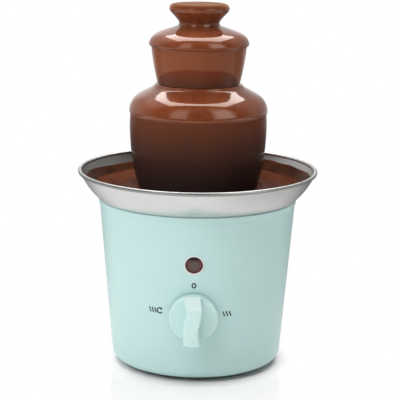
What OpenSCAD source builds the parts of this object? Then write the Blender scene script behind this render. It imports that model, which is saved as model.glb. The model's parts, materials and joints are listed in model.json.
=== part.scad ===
// Table-top chocolate fountain: a heated steel bowl on a plastic housing, and a tower that an auger feeds.
// Millimetres, +Z up, the front with the knob faces -Y, and the origin is on the table under the centre.

/* [Housing] */
// Gap between the table and the lower edge of the housing
foot_gap = 3; // [2.5:0.5:6]
// Height of the housing wall
housing_h = 115.7; // [110:0.1:128]
// Radius at the lower edge, before it is rounded
housing_bottom_r = 59.6; // [58:0.2:64]
// Radius of the wall at the upper edge
housing_top_r = 69.1; // [66:0.1:72]
// Wall thickness
housing_wall = 2.5; // [2:0.1:3]
// Rounding of the lower edge
housing_edge_r = 6; // [4:0.5:8]
// Height of the band round the upper edge
band_h = 3.6; // [2.5:0.1:6]
// How far the band stands proud of the wall
band_proud = 0.6; // [0.3:0.1:1.2]

/* [Base plate and feet] */
// Thickness of the base plate
plate_t = 2.5; // [2:0.1:4]
// Width of the inward flange under the housing
flange_w = 1.8; // [1:0.1:4]
// Radius of a foot
foot_r = 6; // [4:0.5:8]
// Radius of the peg that holds a foot
foot_peg_r = 2.4; // [1.5:0.1:3.5]
// Distance from the edge of the plate to a foot
foot_inset = 0.8; // [0.5:0.1:4]
// Radius of a screw post
post_r = 4.4; // [3.6:0.1:6]
// Height of a screw post
post_h = 22; // [15:1:30]
// Radius of a base screw's shank
base_screw_r = 1.6; // [1.2:0.1:2.2]
// Length of a base screw under its head
base_screw_l = 13; // [8:1:16]
// Number of cooling slots
slot_count = 12; // [6:1:14]
// Length of a cooling slot
slot_l = 13; // [8:1:16]
// Width of a cooling slot
slot_w = 2.6; // [1.5:0.1:4]
// Distance from the centre to the inner end of a slot
slot_start_r = 14; // [11:1:17]

/* [Bowl] */
// Radius of the flat floor
bowl_floor_r = 50.6; // [49:0.2:54]
// Radius of the curve beside the floor
bowl_low_r = 75; // [65:1:85]
// Radius of the curve below the rim
bowl_high_r = 49; // [46:0.5:52]
// Slope of the wall beside the floor
bowl_floor_angle = 24; // [20:0.5:28]
// Slope where the two curves join
bowl_mid_angle = 42; // [39:0.5:45]
// Slope below the rim
bowl_top_angle = 66; // [63:0.5:70]
// Thickness of the steel
bowl_wall = 0.8; // [0.6:0.1:1.2]
// Radius of the rolled rim
bead_r = 1.3; // [1:0.1:1.8]

/* [Tower] */
// Height of the lower tier's shoulder above the bowl floor
lower_h = 72.2; // [60:0.2:80]
// Height of the upper tier's shoulder above the bowl floor
upper_h = 119.2; // [108:0.2:124]
// Height of the tube's top above the bowl floor
tube_h = 133.2; // [130:0.2:142]
// Height of the crown's lip above the tube
crown_h = 10.4; // [9.5:0.1:14]
// Radius of the tube's bore
tube_bore_r = 10.6; // [9:0.1:11.2]
// Wall of the tube above its shoulder
tube_wall = 1.7; // [1.2:0.1:2]
// Width of the shoulder that carries the tiers
tube_shoulder = 1.7; // [1.2:0.1:2.5]
// Wall of the tiers and the crown
tier_wall = 1.3; // [0.9:0.1:1.6]
// Wall of the collars round the tube
collar_wall = 2.2; // [1.6:0.1:2.6]
// Clear height below the foot flange
leg_h = 7; // [5.5:0.5:9]
// Radius of a tower leg
leg_r = 3.4; // [2.8:0.1:4]
// Thickness of the foot flange
foot_flange_t = 2; // [1.5:0.1:3]
// Height of the foot collar
foot_collar_h = 7; // [4:0.5:9]
// Radius of a locating pin
pin_r = 1.6; // [1.2:0.1:2]
// Height of a locating pin
pin_h = 5; // [3:0.5:5]

/* [Auger] */
// Radius of the core
core_r = 5; // [4.6:0.1:5.6]
// Radius of the flight
flight_r = 10; // [8:0.1:10.2]
// Thickness of the flight
flight_t = 1.8; // [1.2:0.1:2.4]
// Rise of one turn
flight_pitch = 18; // [12:0.5:24]
// Radius of the drive shaft
shaft_r = 3; // [2.5:0.1:3.4]
// Length of the hexagonal end of the shaft
hex_l = 14; // [8:1:20]

/* [Chocolate] */
// Depth of chocolate over the bowl floor
pool_depth = 18.5; // [15:0.5:21]
// Thickness of the film over the tiers
film_t = 1.4; // [1:0.1:1.8]
// Thickness of a falling curtain
curtain_t = 1.2; // [0.8:0.1:1.6]
// Thickness of the film at the neck
neck_film = 0.8; // [0.5:0.1:1.2]
// Outer radius over the lower tier
lower_r = 48.2; // [44:0.2:52]
// Rounding of the lower tier's shoulder
lower_round = 13; // [10:0.5:15]
// Slope of the lower tier
lower_slope = 28; // [22:1:32]
// Outer radius over the upper tier
upper_r = 34.2; // [31:0.2:37]
// Rounding of the upper tier's shoulder
upper_round = 7; // [5:0.5:8]
// Slope of the upper tier
upper_slope = 18; // [14:1:20]
// Outer radius over the crown
crown_r = 20.8; // [19.5:0.1:23]
// Rounding of the crown's lip
crown_round = 4.2; // [3.6:0.1:4.6]
// Slope of the crown's flare below the horizontal normal
crown_tilt = 42; // [36:1:48]

/* [Heater] */
// Thickness of the heater plate
heater_t = 3; // [2:0.2:5]
// Radius of the hole in the heater plate
heater_hole_r = 18; // [15:0.5:19]
// Radius of the element's tube
element_tube_r = 3.2; // [2.5:0.1:3.6]
// Open angle between the element's ends
element_gap = 50; // [35:1:60]
// Length of the element's pins
element_pin_l = 14; // [8:1:18]
// Radius of the thermostat
thermostat_r = 7; // [5:0.5:7.5]
// Height of the thermostat's body
thermostat_h = 6; // [4:0.5:8]
// Radius of the thermal fuse
fuse_r = 2; // [1.5:0.1:2.5]
// Length of the thermal fuse
fuse_l = 12; // [8:0.5:14]

/* [Motor and gears] */
// Distance from the heater plate down to the motor plate
spacer_l = 15; // [13:0.5:18]
// Radius of a spacer
spacer_r = 3.8; // [3:0.1:4.2]
// Radius of a bowl stud
stud_r = 2; // [1.5:0.1:2.2]
// Thickness of the motor plate
motor_plate_t = 1.6; // [1.2:0.1:2.4]
// Width of an arm of the motor plate
arm_w = 14; // [10:0.5:18]
// Height of a lug inside the housing
lug_h = 8; // [5:0.5:10]
// Reach of a lug inwards from the wall
lug_l = 10; // [7:0.5:12]
// Gear module
gear_module = 0.7; // [0.6:0.02:0.76]
// Teeth on a pinion
pinion_teeth = 12; // [12:1:14]
// Teeth on a wheel
wheel_teeth = 25; // [23:2:27]
// Width of a wheel
wheel_w = 3.6; // [2.6:0.2:4.2]
// Sheet of the motor case
case_t = 0.8; // [0.6:0.1:1.2]
// Room between the gears and the case
case_room = 1.4; // [0.8:0.1:2.5]
// Height of the coil
coil_h = 7; // [5:0.5:9]
// Radius of the rotor magnet
magnet_r = 11; // [9:0.5:12]
// Radius of the gear axles
axle_r = 1; // [0.8:0.1:1.2]
// Wall of the shaft bushes
bush_wall = 2.6; // [2:0.1:3]

/* [Controls] */
// Height of the knob's axis on the wall
knob_z = 49.4; // [44:0.2:56]
// Radius of the knob
knob_r = 16.6; // [15:0.1:19]
// Thickness of the knob's disc
knob_disc_t = 5; // [4.4:0.1:7]
// Height of the grip over the disc
grip_h = 10.5; // [7:0.5:14]
// Width of the grip
grip_w = 10.4; // [8.6:0.2:12]
// Sideways swing of the grip's wave
grip_swing = 1.8; // [0.5:0.1:2.4]
// Length of one wave of the grip
grip_wave = 26; // [20:1:32]
// Radius of the switch shaft
switch_shaft_r = 3; // [2.5:0.1:3.4]
// Radius of the switch neck
switch_neck_r = 5; // [4.6:0.1:5.6]
// Width of the switch body
switch_w = 24; // [22:0.5:26]
// Depth of the switch body
switch_d = 14; // [11:0.5:16]
// Height of the pilot light on the wall
lamp_z = 85.5; // [78:0.2:94]
// Radius of the pilot light's lens
lens_r = 6; // [4.5:0.1:7]
// Thickness of the lens
lens_t = 2.2; // [1.6:0.1:3]
// Wall of the ring round the lens
ring_wall = 0.7; // [0.5:0.1:1.2]
// Height of the cord gland on the rear wall
gland_z = 19; // [16:0.5:26]
// Radius of the gland's bore
gland_bore_r = 3.5; // [2.5:0.1:4]
// Wall of the gland
gland_wall = 2.5; // [1.8:0.1:3]
// Width of the terminal block
block_w = 32; // [28:1:36]
// Depth of the terminal block
block_d = 12; // [9:0.5:14]
// Height of the terminal block
block_h = 11; // [8:0.5:14]

/* [Hidden] */
$fn = 96;

// Clearances: fixed fits, running fits, and chocolate to the metal that it covers
fit = 0.05;
run = 0.06;
coat_gap = 0.1;
seat_gap = 0.1;
plate_gap = 0.4;
pool_gap = 0.3;
foot_room = 1;
curtain_room = 0.4;
pin_room = 0.3;

// Overrun of a cut past the face that it opens, and the least land left beside a hole or an edge
over = 1;
land = 1;

// Points to an arc, and angles of the parts that come in threes
arc_steps = 10;
foot_angles = [-60, 60, 180];
post_angles = [0, 120, 240];
stud_angles = [90, 210, 330];
leg_angles = [30, 150, 270];

function arc(c, r, from, to, steps = arc_steps) =
  [for (i = [0:steps]) let (a = from + (to - from) * i / steps) [c[0] + r * cos(a), c[1] + r * sin(a)]];
function polar(r, a) = [r * cos(a), r * sin(a)];

// Housing wall
wall_tilt = atan((housing_top_r - housing_bottom_r) / housing_h);
housing_top_z = foot_gap + housing_h;
edge_lift = housing_edge_r * (1 - sin(wall_tilt)) / cos(wall_tilt);
edge_c = [
  housing_bottom_r + edge_lift * sin(wall_tilt) - housing_edge_r * cos(wall_tilt),
  foot_gap + housing_edge_r
];
opening_r = edge_c[0] - flange_w;
band_z = housing_top_z - band_h;
band_r = housing_top_r + band_proud;
band_round = 0.5;
function wall_r(z) = housing_bottom_r + (z - foot_gap) * tan(wall_tilt);

// Base plate
plate_r = opening_r - plate_gap;
plate_z = foot_gap + plate_gap;
plate_top_z = plate_z + plate_t;
foot_circle_r = plate_r - foot_inset - foot_r;
foot_peg_l = plate_t + land;
foot_round = 0.8;
post_circle_r = plate_r - post_r - land;
rib_t = 3;
rib_z = foot_gap + housing_edge_r + land;
screw_head_r = 2 * base_screw_r;
screw_head_h = 1.8;

// Bowl: two arcs from the floor to the rolled rim, heights from the underside of the floor
low_c = [bowl_floor_r - bowl_low_r * sin(bowl_floor_angle), bowl_low_r * cos(bowl_floor_angle)];
bowl_join = low_c + bowl_low_r * [sin(bowl_mid_angle), -cos(bowl_mid_angle)];
high_c = bowl_join + bowl_high_r * [-sin(bowl_mid_angle), cos(bowl_mid_angle)];
bowl_edge = high_c + bowl_high_r * [sin(bowl_top_angle), -cos(bowl_top_angle)];
bead_c = bowl_edge + [bead_r - bowl_wall, bead_r];
bead_from = -acos((bowl_wall - bead_r) / bead_r);
function low_start(off) = acos((low_c[1] - off) / (bowl_low_r - off));
function bowl_arcs(off, end) = concat(
  arc(low_c, bowl_low_r - off, low_start(off) - 90, bowl_mid_angle - 90),
  [for (p = arc(high_c, bowl_high_r - off, bowl_mid_angle - 90, end - 90)) if (p != bowl_join) p]
);
function bowl_rise(r) = r < bowl_join[0]
  ? low_c[1] - sqrt(pow(bowl_low_r, 2) - pow(r - low_c[0], 2))
  : high_c[1] - sqrt(pow(bowl_high_r, 2) - pow(r - high_c[0], 2));
seat_r = band_r - band_round;
bowl_z = housing_top_z + seat_gap - bowl_rise(seat_r);
floor_z = bowl_z + bowl_wall;
pool_z = floor_z + pool_depth;

// Drive through the bowl floor
bush_r = shaft_r + run + bush_wall;
bush_flange_w = 3;
bush_flange_r = bush_r + bush_flange_w;
bush_flange_t = 1.5;
bush_nut_h = 3.5;
seal_t = 1.8;
auger_room = 0.5;
auger_z = floor_z + bush_flange_t + seal_t + auger_room;
hex_top_z = auger_z + hex_l;

// Heater and motor stack, from the bowl floor down
heater_z = bowl_z - fit - heater_t;
motor_plate_z = heater_z - spacer_l - motor_plate_t;
nut_h = 3.2;
stud_bottom_z = motor_plate_z - nut_h - 2 * land;
nut_r = 2 * stud_r;

// Gear train
pressure_angle = 25;
addendum = 0.8 * gear_module;
dedendum = gear_module;
backlash = 0.12;
tooth_steps = 4;
pinion_r = gear_module * pinion_teeth / 2;
wheel_r = gear_module * wheel_teeth / 2;
gear_centre = pinion_r + wheel_r;
pinion_w = wheel_w + 2;
motor_r = gear_centre + wheel_r + addendum + case_room + case_t;
case_r = motor_r - case_t;
cover_t = 1.2;
gear_gap = 0.5;
rise_coil = case_t + fit;
rise_plate = rise_coil + coil_h + gear_gap;
gear_plate_t = 1;
rise_idler = rise_plate + gear_plate_t + gear_gap;
rise_output = rise_idler + wheel_w + 2 * gear_gap;
rise_bush = rise_output + pinion_w + gear_gap;
motor_bush_h = 2.6;
motor_h = rise_bush + motor_bush_h + cover_t;
motor_z = motor_plate_z - motor_h;
stack_room = 2.5;
stud_circle_r = motor_r + nut_r + stack_room;
ear_r = 5;
ear_circle_r = motor_r + ear_r;
ear_angles = [0, 180];
ear_screw_r = 1.9;
ear_head_h = 2;
ear_screw_end = 3;
magnet_room = 1;
bush_step = 2;
motor_disc_r = stud_circle_r + nut_r + 2 * land;
element_r = stud_circle_r + spacer_r + element_tube_r + stack_room;
element_mid = 30;
element_ends = [element_mid + element_gap / 2, element_mid - element_gap / 2];
element_z = heater_z - fit - element_tube_r;
pin_turn = 2 * element_tube_r / element_r * 180 / PI;
pin_angles = [element_ends[0] + pin_turn, element_ends[1] - pin_turn];
heater_r = element_r + element_tube_r + land;
sensor_r = (heater_hole_r + element_r - element_tube_r) / 2;
lug_z = motor_plate_z + motor_plate_t + fit;
arm_end_r = wall_r(lug_z) - housing_wall - 2 * land;

// Tower
tube_z = floor_z + leg_h + foot_flange_t;
tube_top_z = floor_z + tube_h;
tube_r = tube_bore_r + tube_wall;
tube_low_r = tube_r + tube_shoulder;
collar_r = tube_r + fit + collar_wall;
lower_z = floor_z + lower_h;
upper_z = floor_z + upper_h;
crown_z = tube_top_z + crown_h;
shoulder_rise = 1;
shoulder_z = lower_z + shoulder_rise;
upper_collar_z = upper_z + shoulder_rise;
tier_lip = 0.6;
lip_gap = 0.4;
leg_circle_r = tube_low_r + leg_r + land;
foot_flange_r = leg_circle_r + leg_r + land;
pool_hole_r = foot_flange_r + foot_room;
skirt_wall = 0.8;
skirt_r = tube_r + fit + skirt_wall;
neck_r = skirt_r + neck_film;
skin_off = film_t + coat_gap;
crown_fill = 1.5;
landing_in = 4;

// A tier's rounded shoulder and cone, at a depth below the chocolate's surface, from the rim up to a radius
function tier_centre(r_max, round) = r_max - round;
function tier_cone_z(r_max, round, slope, z, off, r) =
  let (c = tier_centre(r_max, round), rr = round - off, t = polar(rr, 90 - slope))
  z + t[1] + (c + t[0] - r) * tan(slope);
function tier_line(r_max, round, slope, z, off, r_in) = concat(
  arc([tier_centre(r_max, round), z], round - off, 0, 90 - slope),
  [[r_in, tier_cone_z(r_max, round, slope, z, off, r_in)]]
);
function reversed(list) = [for (i = [len(list) - 1:-1:0]) list[i]];

// A falling curtain: radius at a drop below the lip
function curtain_r(top_r, lean, bend, drop) = top_r - lean * drop - bend * drop * drop;
function curtain_line(top_r, lean, bend, top_z, end_z, steps = 2 * arc_steps) =
  [for (i = [0:steps]) let (d = (top_z - end_z) * i / steps) [curtain_r(top_r, lean, bend, d), top_z - d]];
lower_lip_drop = 2;
lower_step = 0.1;
lower_bend = 0.00226;
upper_lip_drop = 2.6;
upper_step = 1.2;
upper_lean = 0.14;
upper_bend = 0.0023;

// Auger
core_end = 0.6;
core_top_z = tube_top_z + core_end;
flight_z = auger_z + auger_room;
flight_top_z = tube_top_z - 2 * land;
flight_steps = 24;
flight_turns = (flight_top_z - flight_z - flight_t) / flight_pitch;

// Controls: switch behind the front wall, measured along the wall's outward normal
boss_d = 7;
boss_r = switch_w / 2 + land;
nut_seat = 0.9;
switch_nut_w = 2.4;
switch_nut_r = switch_neck_r + switch_nut_w;
switch_nut_h = 2.4;
nut_room = 1.2;
nut_room_r = switch_nut_r + nut_room;
nut_cover = 0.8;
knob_gap = 0.8;
knob_face = knob_gap + knob_disc_t;
knob_edge = 1.2;
switch_wall = 2;
switch_back_t = 2;
cam_room = 1;
cam_r = switch_w / 2 - switch_wall - cam_room - fit;
cam_t = 4;
cam_angles = [0, 90, 180];
shaft_short = 3;
shaft_in = boss_d + switch_d - shaft_short;
shaft_out = knob_face + 2 * land;
flat_share = 0.55;
blade = [0.8, 5, 8];
blade_x = 6;
lamp_ring_l = 9;
lamp_proud = 0.25;
lens_recess = 0.9;
lamp_r = 3;
lamp_l = 11;
lamp_gap = 0.3;
clip_w = 2.4;
clip_t = 2;
clip_gap = 1;
gland_r = gland_bore_r + gland_wall;
gland_flange_w = 2.4;
gland_flange_r = gland_r + gland_flange_w;
gland_flange_t = 2;
gland_l = 9;
gland_seat = 0.7;
block_y = 30;
block_screw_r = 1.8;
block_share = 3.2;
block_pitch = block_w / block_share;

// Leads: each starts a gap clear of its two terminals, runs straight out, and between them goes through
// points chosen by hand
lead_r = 1;
lead_gap = 0.6;
lead_sides = 8;
lead_steps = 3;
lead_run = 6;
lead_angle = 8;
blade_end = boss_d + switch_d + 2 * fit + switch_back_t + blade[2];
function block_end(i, out) =
  [i * block_pitch, block_y - block_d / 2 - lead_gap - out, plate_top_z + fit + block_h / 2];
function switch_end(x, y, out) =
  let (d = blade_end + lead_gap + out)
  [
    x,
    -wall_r(knob_z) - y * sin(wall_tilt) + d * cos(wall_tilt),
    knob_z + y * cos(wall_tilt) + d * sin(wall_tilt)
  ];
function pin_end(i, out) =
  concat(polar(element_r, pin_angles[i]), element_z - element_pin_l - lead_gap - out);
function motor_end(out) =
  concat(polar(motor_r + lead_gap + out, lead_angle), motor_z + rise_coil + coil_h / 2);
lead_ends = [
  [block_end(-1, 0), switch_end(-blade_x, -blade_x, 0)],
  [block_end(1, 0), motor_end(0)],
  [block_end(0, 0), pin_end(0, 0)],
  [switch_end(blade_x, blade_x, 0), pin_end(1, 0)]
];
lead_bends = [
  [block_end(-1, lead_run), [-14, -6, 24], [-10, -18, 38], switch_end(-blade_x, -blade_x, lead_run)],
  [block_end(1, lead_run), [22, 8, 26], [motor_r + 8, 5, 48], motor_end(lead_run)],
  [block_end(0, lead_run), [14, 18, 26], [24, 28, 48], pin_end(0, lead_run)],
  [switch_end(blade_x, blade_x, lead_run), [20, -28, 60], [36, -18, 70], pin_end(1, lead_run)]
];

// Place children on the front wall at a height: +Z along the outward normal, +Y up the wall
module on_wall(z) {
  translate([0, -wall_r(z), z])
    rotate([90 + wall_tilt, 0, 0])
      children();
}

module on_back(z) {
  rotate([0, 0, 180])
    on_wall(z)
      children();
}

module around(r, angles) {
  for (a = angles)
    rotate([0, 0, a])
      translate([r, 0, 0])
        children();
}

module lathe(points) {
  rotate_extrude()
    polygon(points);
}

module ring(r_out, r_in, h) {
  difference() {
    cylinder(r = r_out, h = h);
    translate([0, 0, -over])
      cylinder(r = r_in, h = h + 2 * over);
  }
}

// A screw with its head below z = 0 and its shank up from there
module screw(shank_r, length, head_r, head_h) {
  cylinder(r = shank_r, h = length);
  translate([0, 0, -head_h])
    cylinder(r = head_r, h = head_h);
}

module hex_nut(r, hole_r, h) {
  difference() {
    cylinder(r = r, h = h, $fn = 6);
    translate([0, 0, -over])
      cylinder(r = hole_r, h = h + 2 * over);
  }
}

// Housing

function housing_outline() = concat(
  arc(edge_c, housing_edge_r, -90, -wall_tilt),
  [
    [wall_r(band_z), band_z],
    [wall_r(band_z) + band_proud, band_z + band_proud],
    [band_r, housing_top_z - band_round],
    [seat_r, housing_top_z]
  ]
);

module housing_core() {
  lathe(concat([[0, foot_gap]], housing_outline(), [[0, housing_top_z]]));
}

module housing_shell() {
  inner_r = housing_top_r - housing_wall;
  inner_round = housing_edge_r - housing_wall;
  lathe(concat(
    [[opening_r, foot_gap]],
    housing_outline(),
    [[inner_r, bowl_z + bowl_rise(inner_r) - seat_gap]],
    reversed(arc(edge_c, inner_round, -90, -wall_tilt)),
    [[opening_r, foot_gap + housing_wall]]
  ));
}

module screw_posts() {
  rib_end = wall_r(rib_z) - housing_wall / 2;
  around(post_circle_r, post_angles) {
    translate([0, 0, plate_top_z + fit])
      cylinder(r = post_r, h = post_h);
    translate([0, -rib_t / 2, rib_z])
      cube([rib_end - post_circle_r, rib_t, plate_top_z + post_h - rib_z]);
  }
}

module wall_lugs() {
  lug_end = wall_r(lug_z) - housing_wall / 2;
  around(lug_end - lug_l, stud_angles)
    translate([0, -arm_w / 2, lug_z])
      cube([lug_l, arm_w, lug_h]);
}

module housing() {
  color("paleturquoise")
    difference() {
      union() {
        housing_shell();
        screw_posts();
        wall_lugs();
        intersection() {
          on_wall(knob_z)
            translate([0, 0, -boss_d])
              cylinder(r = boss_r, h = boss_d);
          housing_core();
        }
      }
      around(post_circle_r, post_angles)
        translate([0, 0, plate_top_z - over])
          cylinder(r = base_screw_r + fit, h = base_screw_l);
      on_wall(knob_z) {
        translate([0, 0, -boss_d - over])
          cylinder(r = switch_neck_r + fit, h = boss_d + 2 * over);
        translate([0, 0, -nut_seat])
          cylinder(r = nut_room_r, h = nut_seat + over);
      }
      on_wall(lamp_z)
        translate([0, 0, -lamp_ring_l])
          cylinder(r = lens_r + fit + ring_wall + fit, h = lamp_ring_l + over);
      on_back(gland_z) {
        translate([0, 0, -gland_l])
          cylinder(r = gland_r + fit, h = gland_l + over);
        translate([0, 0, -gland_seat])
          cylinder(r = gland_flange_r + fit, h = gland_seat + over);
      }
    }
}

module base_plate() {
  color("teal")
    translate([0, 0, plate_z])
      difference() {
        cylinder(r = plate_r, h = plate_t);
        translate([0, 0, -over]) {
          around(foot_circle_r, foot_angles)
            cylinder(r = foot_peg_r + fit, h = plate_t + 2 * over);
          around(post_circle_r, post_angles)
            cylinder(r = base_screw_r + fit, h = plate_t + 2 * over);
          for (i = [0:slot_count - 1])
            rotate([0, 0, 360 * (i + 0.5) / slot_count])
              translate([slot_start_r, -slot_w / 2, 0])
                cube([slot_l, slot_w, plate_t + 2 * over]);
        }
      }
}

module rubber_feet() {
  foot_h = plate_z - fit;
  peg_top = foot_h + fit + foot_peg_l;
  color("darkslategray")
    around(foot_circle_r, foot_angles)
      lathe(concat(
        [[0, 0]],
        arc([foot_r - foot_round, foot_round], foot_round, -90, 0, 4),
        [[foot_r, foot_h], [foot_peg_r, foot_h], [foot_peg_r, peg_top], [0, peg_top]]
      ));
}

module base_screws() {
  color("silver")
    around(post_circle_r, post_angles)
      translate([0, 0, plate_z - fit])
        screw(base_screw_r, base_screw_l, screw_head_r, screw_head_h);
}

// Bowl and what passes through its floor

module bowl() {
  bead = arc(bead_c, bead_r, bead_from, 180, 2 * arc_steps);
  color("gainsboro")
    translate([0, 0, bowl_z])
      lathe(concat(
        [[bush_r + fit, 0]],
        bowl_arcs(0, bowl_top_angle),
        bead,
        reversed(bowl_arcs(bowl_wall, bowl_top_angle)),
        [[bush_r + fit, bowl_wall]]
      ));
}

module bowl_studs() {
  color("silver")
    around(stud_circle_r, stud_angles)
      translate([0, 0, stud_bottom_z])
        cylinder(r = stud_r, h = bowl_z - fit - stud_bottom_z);
}

module stud_spacers() {
  color("silver")
    around(stud_circle_r, stud_angles)
      translate([0, 0, motor_plate_z + motor_plate_t + fit])
        ring(spacer_r, stud_r + fit, spacer_l - 2 * fit);
}

module stud_nuts() {
  color("silver")
    around(stud_circle_r, stud_angles)
      translate([0, 0, motor_plate_z - nut_h])
        hex_nut(nut_r, stud_r + fit, nut_h);
}

module locating_pins() {
  color("silver")
    around(leg_circle_r, leg_angles)
      translate([0, 0, floor_z + fit])
        cylinder(r = pin_r, h = pin_h);
}

module bowl_bush() {
  color("ivory")
    difference() {
      union() {
        translate([0, 0, bowl_z - bush_nut_h])
          cylinder(r = bush_r, h = bush_nut_h + bowl_wall + fit);
        translate([0, 0, floor_z + fit])
          cylinder(r = bush_flange_r, h = bush_flange_t - fit);
      }
      translate([0, 0, bowl_z - bush_nut_h - over])
        cylinder(r = shaft_r + run, h = bush_nut_h + bowl_wall + bush_flange_t + 2 * over);
    }
}

module bush_nut() {
  color("ivory")
    translate([0, 0, bowl_z - bush_nut_h])
      hex_nut(bush_flange_r, bush_r + fit, bush_nut_h - fit);
}

module shaft_seal() {
  color("firebrick")
    translate([0, 0, floor_z + bush_flange_t])
      ring(bush_r, shaft_r + run, seal_t);
}

// Heater

module heater_plate() {
  color("lightgray")
    difference() {
      translate([0, 0, heater_z])
        ring(heater_r, heater_hole_r, heater_t);
      around(stud_circle_r, stud_angles)
        translate([0, 0, heater_z - over])
          cylinder(r = stud_r + fit, h = heater_t + 2 * over);
    }
}

module heating_element() {
  color("dimgray") {
    rotate([0, 0, element_ends[0]])
      translate([0, 0, element_z])
        rotate_extrude(angle = 360 - element_gap)
          translate([element_r, 0])
            circle(r = element_tube_r);
    around(element_r, pin_angles)
      translate([0, 0, element_z - element_pin_l])
        cylinder(r = element_tube_r / 2, h = element_pin_l);
  }
}

module thermostat() {
  cap_h = 2;
  cap_step = 0.8;
  blade_h = spacer_l - cap_h - thermostat_h - 2 * land;
  color("darkkhaki")
    translate([0, -sensor_r, heater_z - fit]) {
      translate([0, 0, -cap_h])
        cylinder(r = thermostat_r, h = cap_h);
      translate([0, 0, -cap_h - thermostat_h])
        cylinder(r = thermostat_r - cap_step, h = thermostat_h);
      for (side = [-1, 1])
        translate([side * thermostat_r / 2 - blade[0] / 2, -blade[1] / 2, -cap_h - thermostat_h - blade_h])
          cube([blade[0], blade[1], blade_h]);
    }
}

module thermal_fuse() {
  fuse_angle = 150;
  color("goldenrod")
    rotate([0, 0, fuse_angle])
      translate([sensor_r, -fuse_l / 2, heater_z - fit - fuse_r])
        rotate([-90, 0, 0])
          cylinder(r = fuse_r, h = fuse_l);
}

// Geared motor

module motor_plate() {
  color("silver")
    difference() {
      translate([0, 0, motor_plate_z])
        union() {
          cylinder(r = motor_disc_r, h = motor_plate_t);
          around(motor_disc_r / 2, stud_angles)
            translate([0, -arm_w / 2, 0])
              cube([arm_end_r - motor_disc_r / 2, arm_w, motor_plate_t]);
        }
      translate([0, 0, motor_plate_z - over]) {
        cylinder(r = bush_r + fit, h = motor_plate_t + 2 * over);
        around(stud_circle_r, stud_angles)
          cylinder(r = stud_r + fit, h = motor_plate_t + 2 * over);
        around(ear_circle_r, ear_angles)
          cylinder(r = ear_screw_r + fit, h = motor_plate_t + 2 * over);
      }
    }
}

module motor_cover() {
  color("lightsteelblue")
    translate([0, 0, motor_plate_z - cover_t])
      difference() {
        union() {
          cylinder(r = motor_r, h = cover_t);
          around(ear_circle_r, ear_angles)
            cylinder(r = ear_r, h = cover_t);
          translate([-ear_circle_r, -ear_r, 0])
            cube([2 * ear_circle_r, 2 * ear_r, cover_t]);
        }
        translate([0, 0, -over]) {
          cylinder(r = bush_r + fit, h = cover_t + 2 * over);
          around(ear_circle_r, ear_angles)
            cylinder(r = ear_screw_r + fit, h = cover_t + 2 * over);
          translate([gear_centre, 0, 0])
            cylinder(r = axle_r + fit, h = cover_t + 2 * over);
        }
      }
}

module motor_case() {
  color("lightsteelblue")
    translate([0, 0, motor_z])
      difference() {
        cylinder(r = motor_r, h = motor_h - cover_t - fit);
        translate([0, 0, case_t])
          cylinder(r = case_r, h = motor_h);
        translate([0, 0, -over])
          cylinder(r = axle_r + fit, h = case_t + 2 * over);
      }
}

module motor_screws() {
  color("silver")
    around(ear_circle_r, ear_angles)
      translate([0, 0, motor_plate_z - cover_t - fit])
        screw(ear_screw_r, cover_t + motor_plate_t + ear_screw_end, 2 * ear_screw_r, ear_head_h);
}

module motor_bush() {
  color("goldenrod")
    difference() {
      union() {
        translate([0, 0, motor_z + rise_bush])
          cylinder(r = bush_r, h = motor_bush_h + cover_t + motor_plate_t + bush_step);
        translate([0, 0, motor_z + rise_bush])
          cylinder(r = bush_r + bush_step, h = motor_bush_h - fit);
      }
      translate([0, 0, motor_z])
        cylinder(r = shaft_r + run, h = 2 * motor_h);
    }
}

module motor_coil() {
  color("peru")
    translate([0, 0, motor_z + rise_coil])
      ring(case_r - land, magnet_r + magnet_room, coil_h);
}

module gear_plate() {
  color("silver")
    translate([0, 0, motor_z + rise_plate])
      difference() {
        ring(case_r - fit, pinion_r + addendum + case_t, gear_plate_t);
        translate([gear_centre, 0, -over])
          cylinder(r = axle_r + fit, h = gear_plate_t + 2 * over);
      }
}

module rotor_axle() {
  color("silver")
    translate([0, 0, motor_z])
      cylinder(r = axle_r, h = rise_output + wheel_w);
}

module idler_axle() {
  color("silver")
    translate([gear_centre, 0, motor_z + rise_plate])
      cylinder(r = axle_r, h = motor_h - rise_plate);
}

// Involute gears
function involute(a) = tan(a) - a * PI / 180;
function half_tooth(teeth, r) =
  let (pitch_r = gear_module * teeth / 2, a = acos(min(1, pitch_r * cos(pressure_angle) / r)))
  90 / teeth + (involute(pressure_angle) - involute(a) - backlash / (2 * pitch_r)) * 180 / PI;
function flank_radii(teeth) =
  let (
    pitch_r = gear_module * teeth / 2,
    root_r = pitch_r - dedendum,
    start_r = max(root_r, pitch_r * cos(pressure_angle)),
    tip_r = pitch_r + addendum
  )
  concat(
    start_r > root_r ? [root_r] : [],
    [for (i = [0:tooth_steps]) start_r + (tip_r - start_r) * i / tooth_steps]
  );
function gear_points(teeth) =
  let (radii = flank_radii(teeth))
  [for (i = [0:teeth - 1]) let (mid = 360 * i / teeth) each concat(
    [for (r = radii) polar(r, mid - half_tooth(teeth, r))],
    [for (r = reversed(radii)) polar(r, mid + half_tooth(teeth, r))]
  )];

module gear(teeth, width, bore_r) {
  difference() {
    linear_extrude(height = width)
      polygon(gear_points(teeth));
    translate([0, 0, -over])
      cylinder(r = bore_r, h = width + 2 * over);
  }
}

module idler_gear() {
  color("white")
    translate([gear_centre, 0, motor_z + rise_idler]) {
      gear(wheel_teeth, wheel_w, axle_r + run);
      translate([0, 0, wheel_w])
        rotate([0, 0, 180 / pinion_teeth])
          gear(pinion_teeth, pinion_w, axle_r + run);
    }
}

module rotor_pinion() {
  color("white")
    translate([0, 0, motor_z + rise_coil + gear_gap + coil_h + fit])
      gear(pinion_teeth, rise_output - gear_gap - rise_coil - gear_gap - coil_h, axle_r + run);
}

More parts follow.
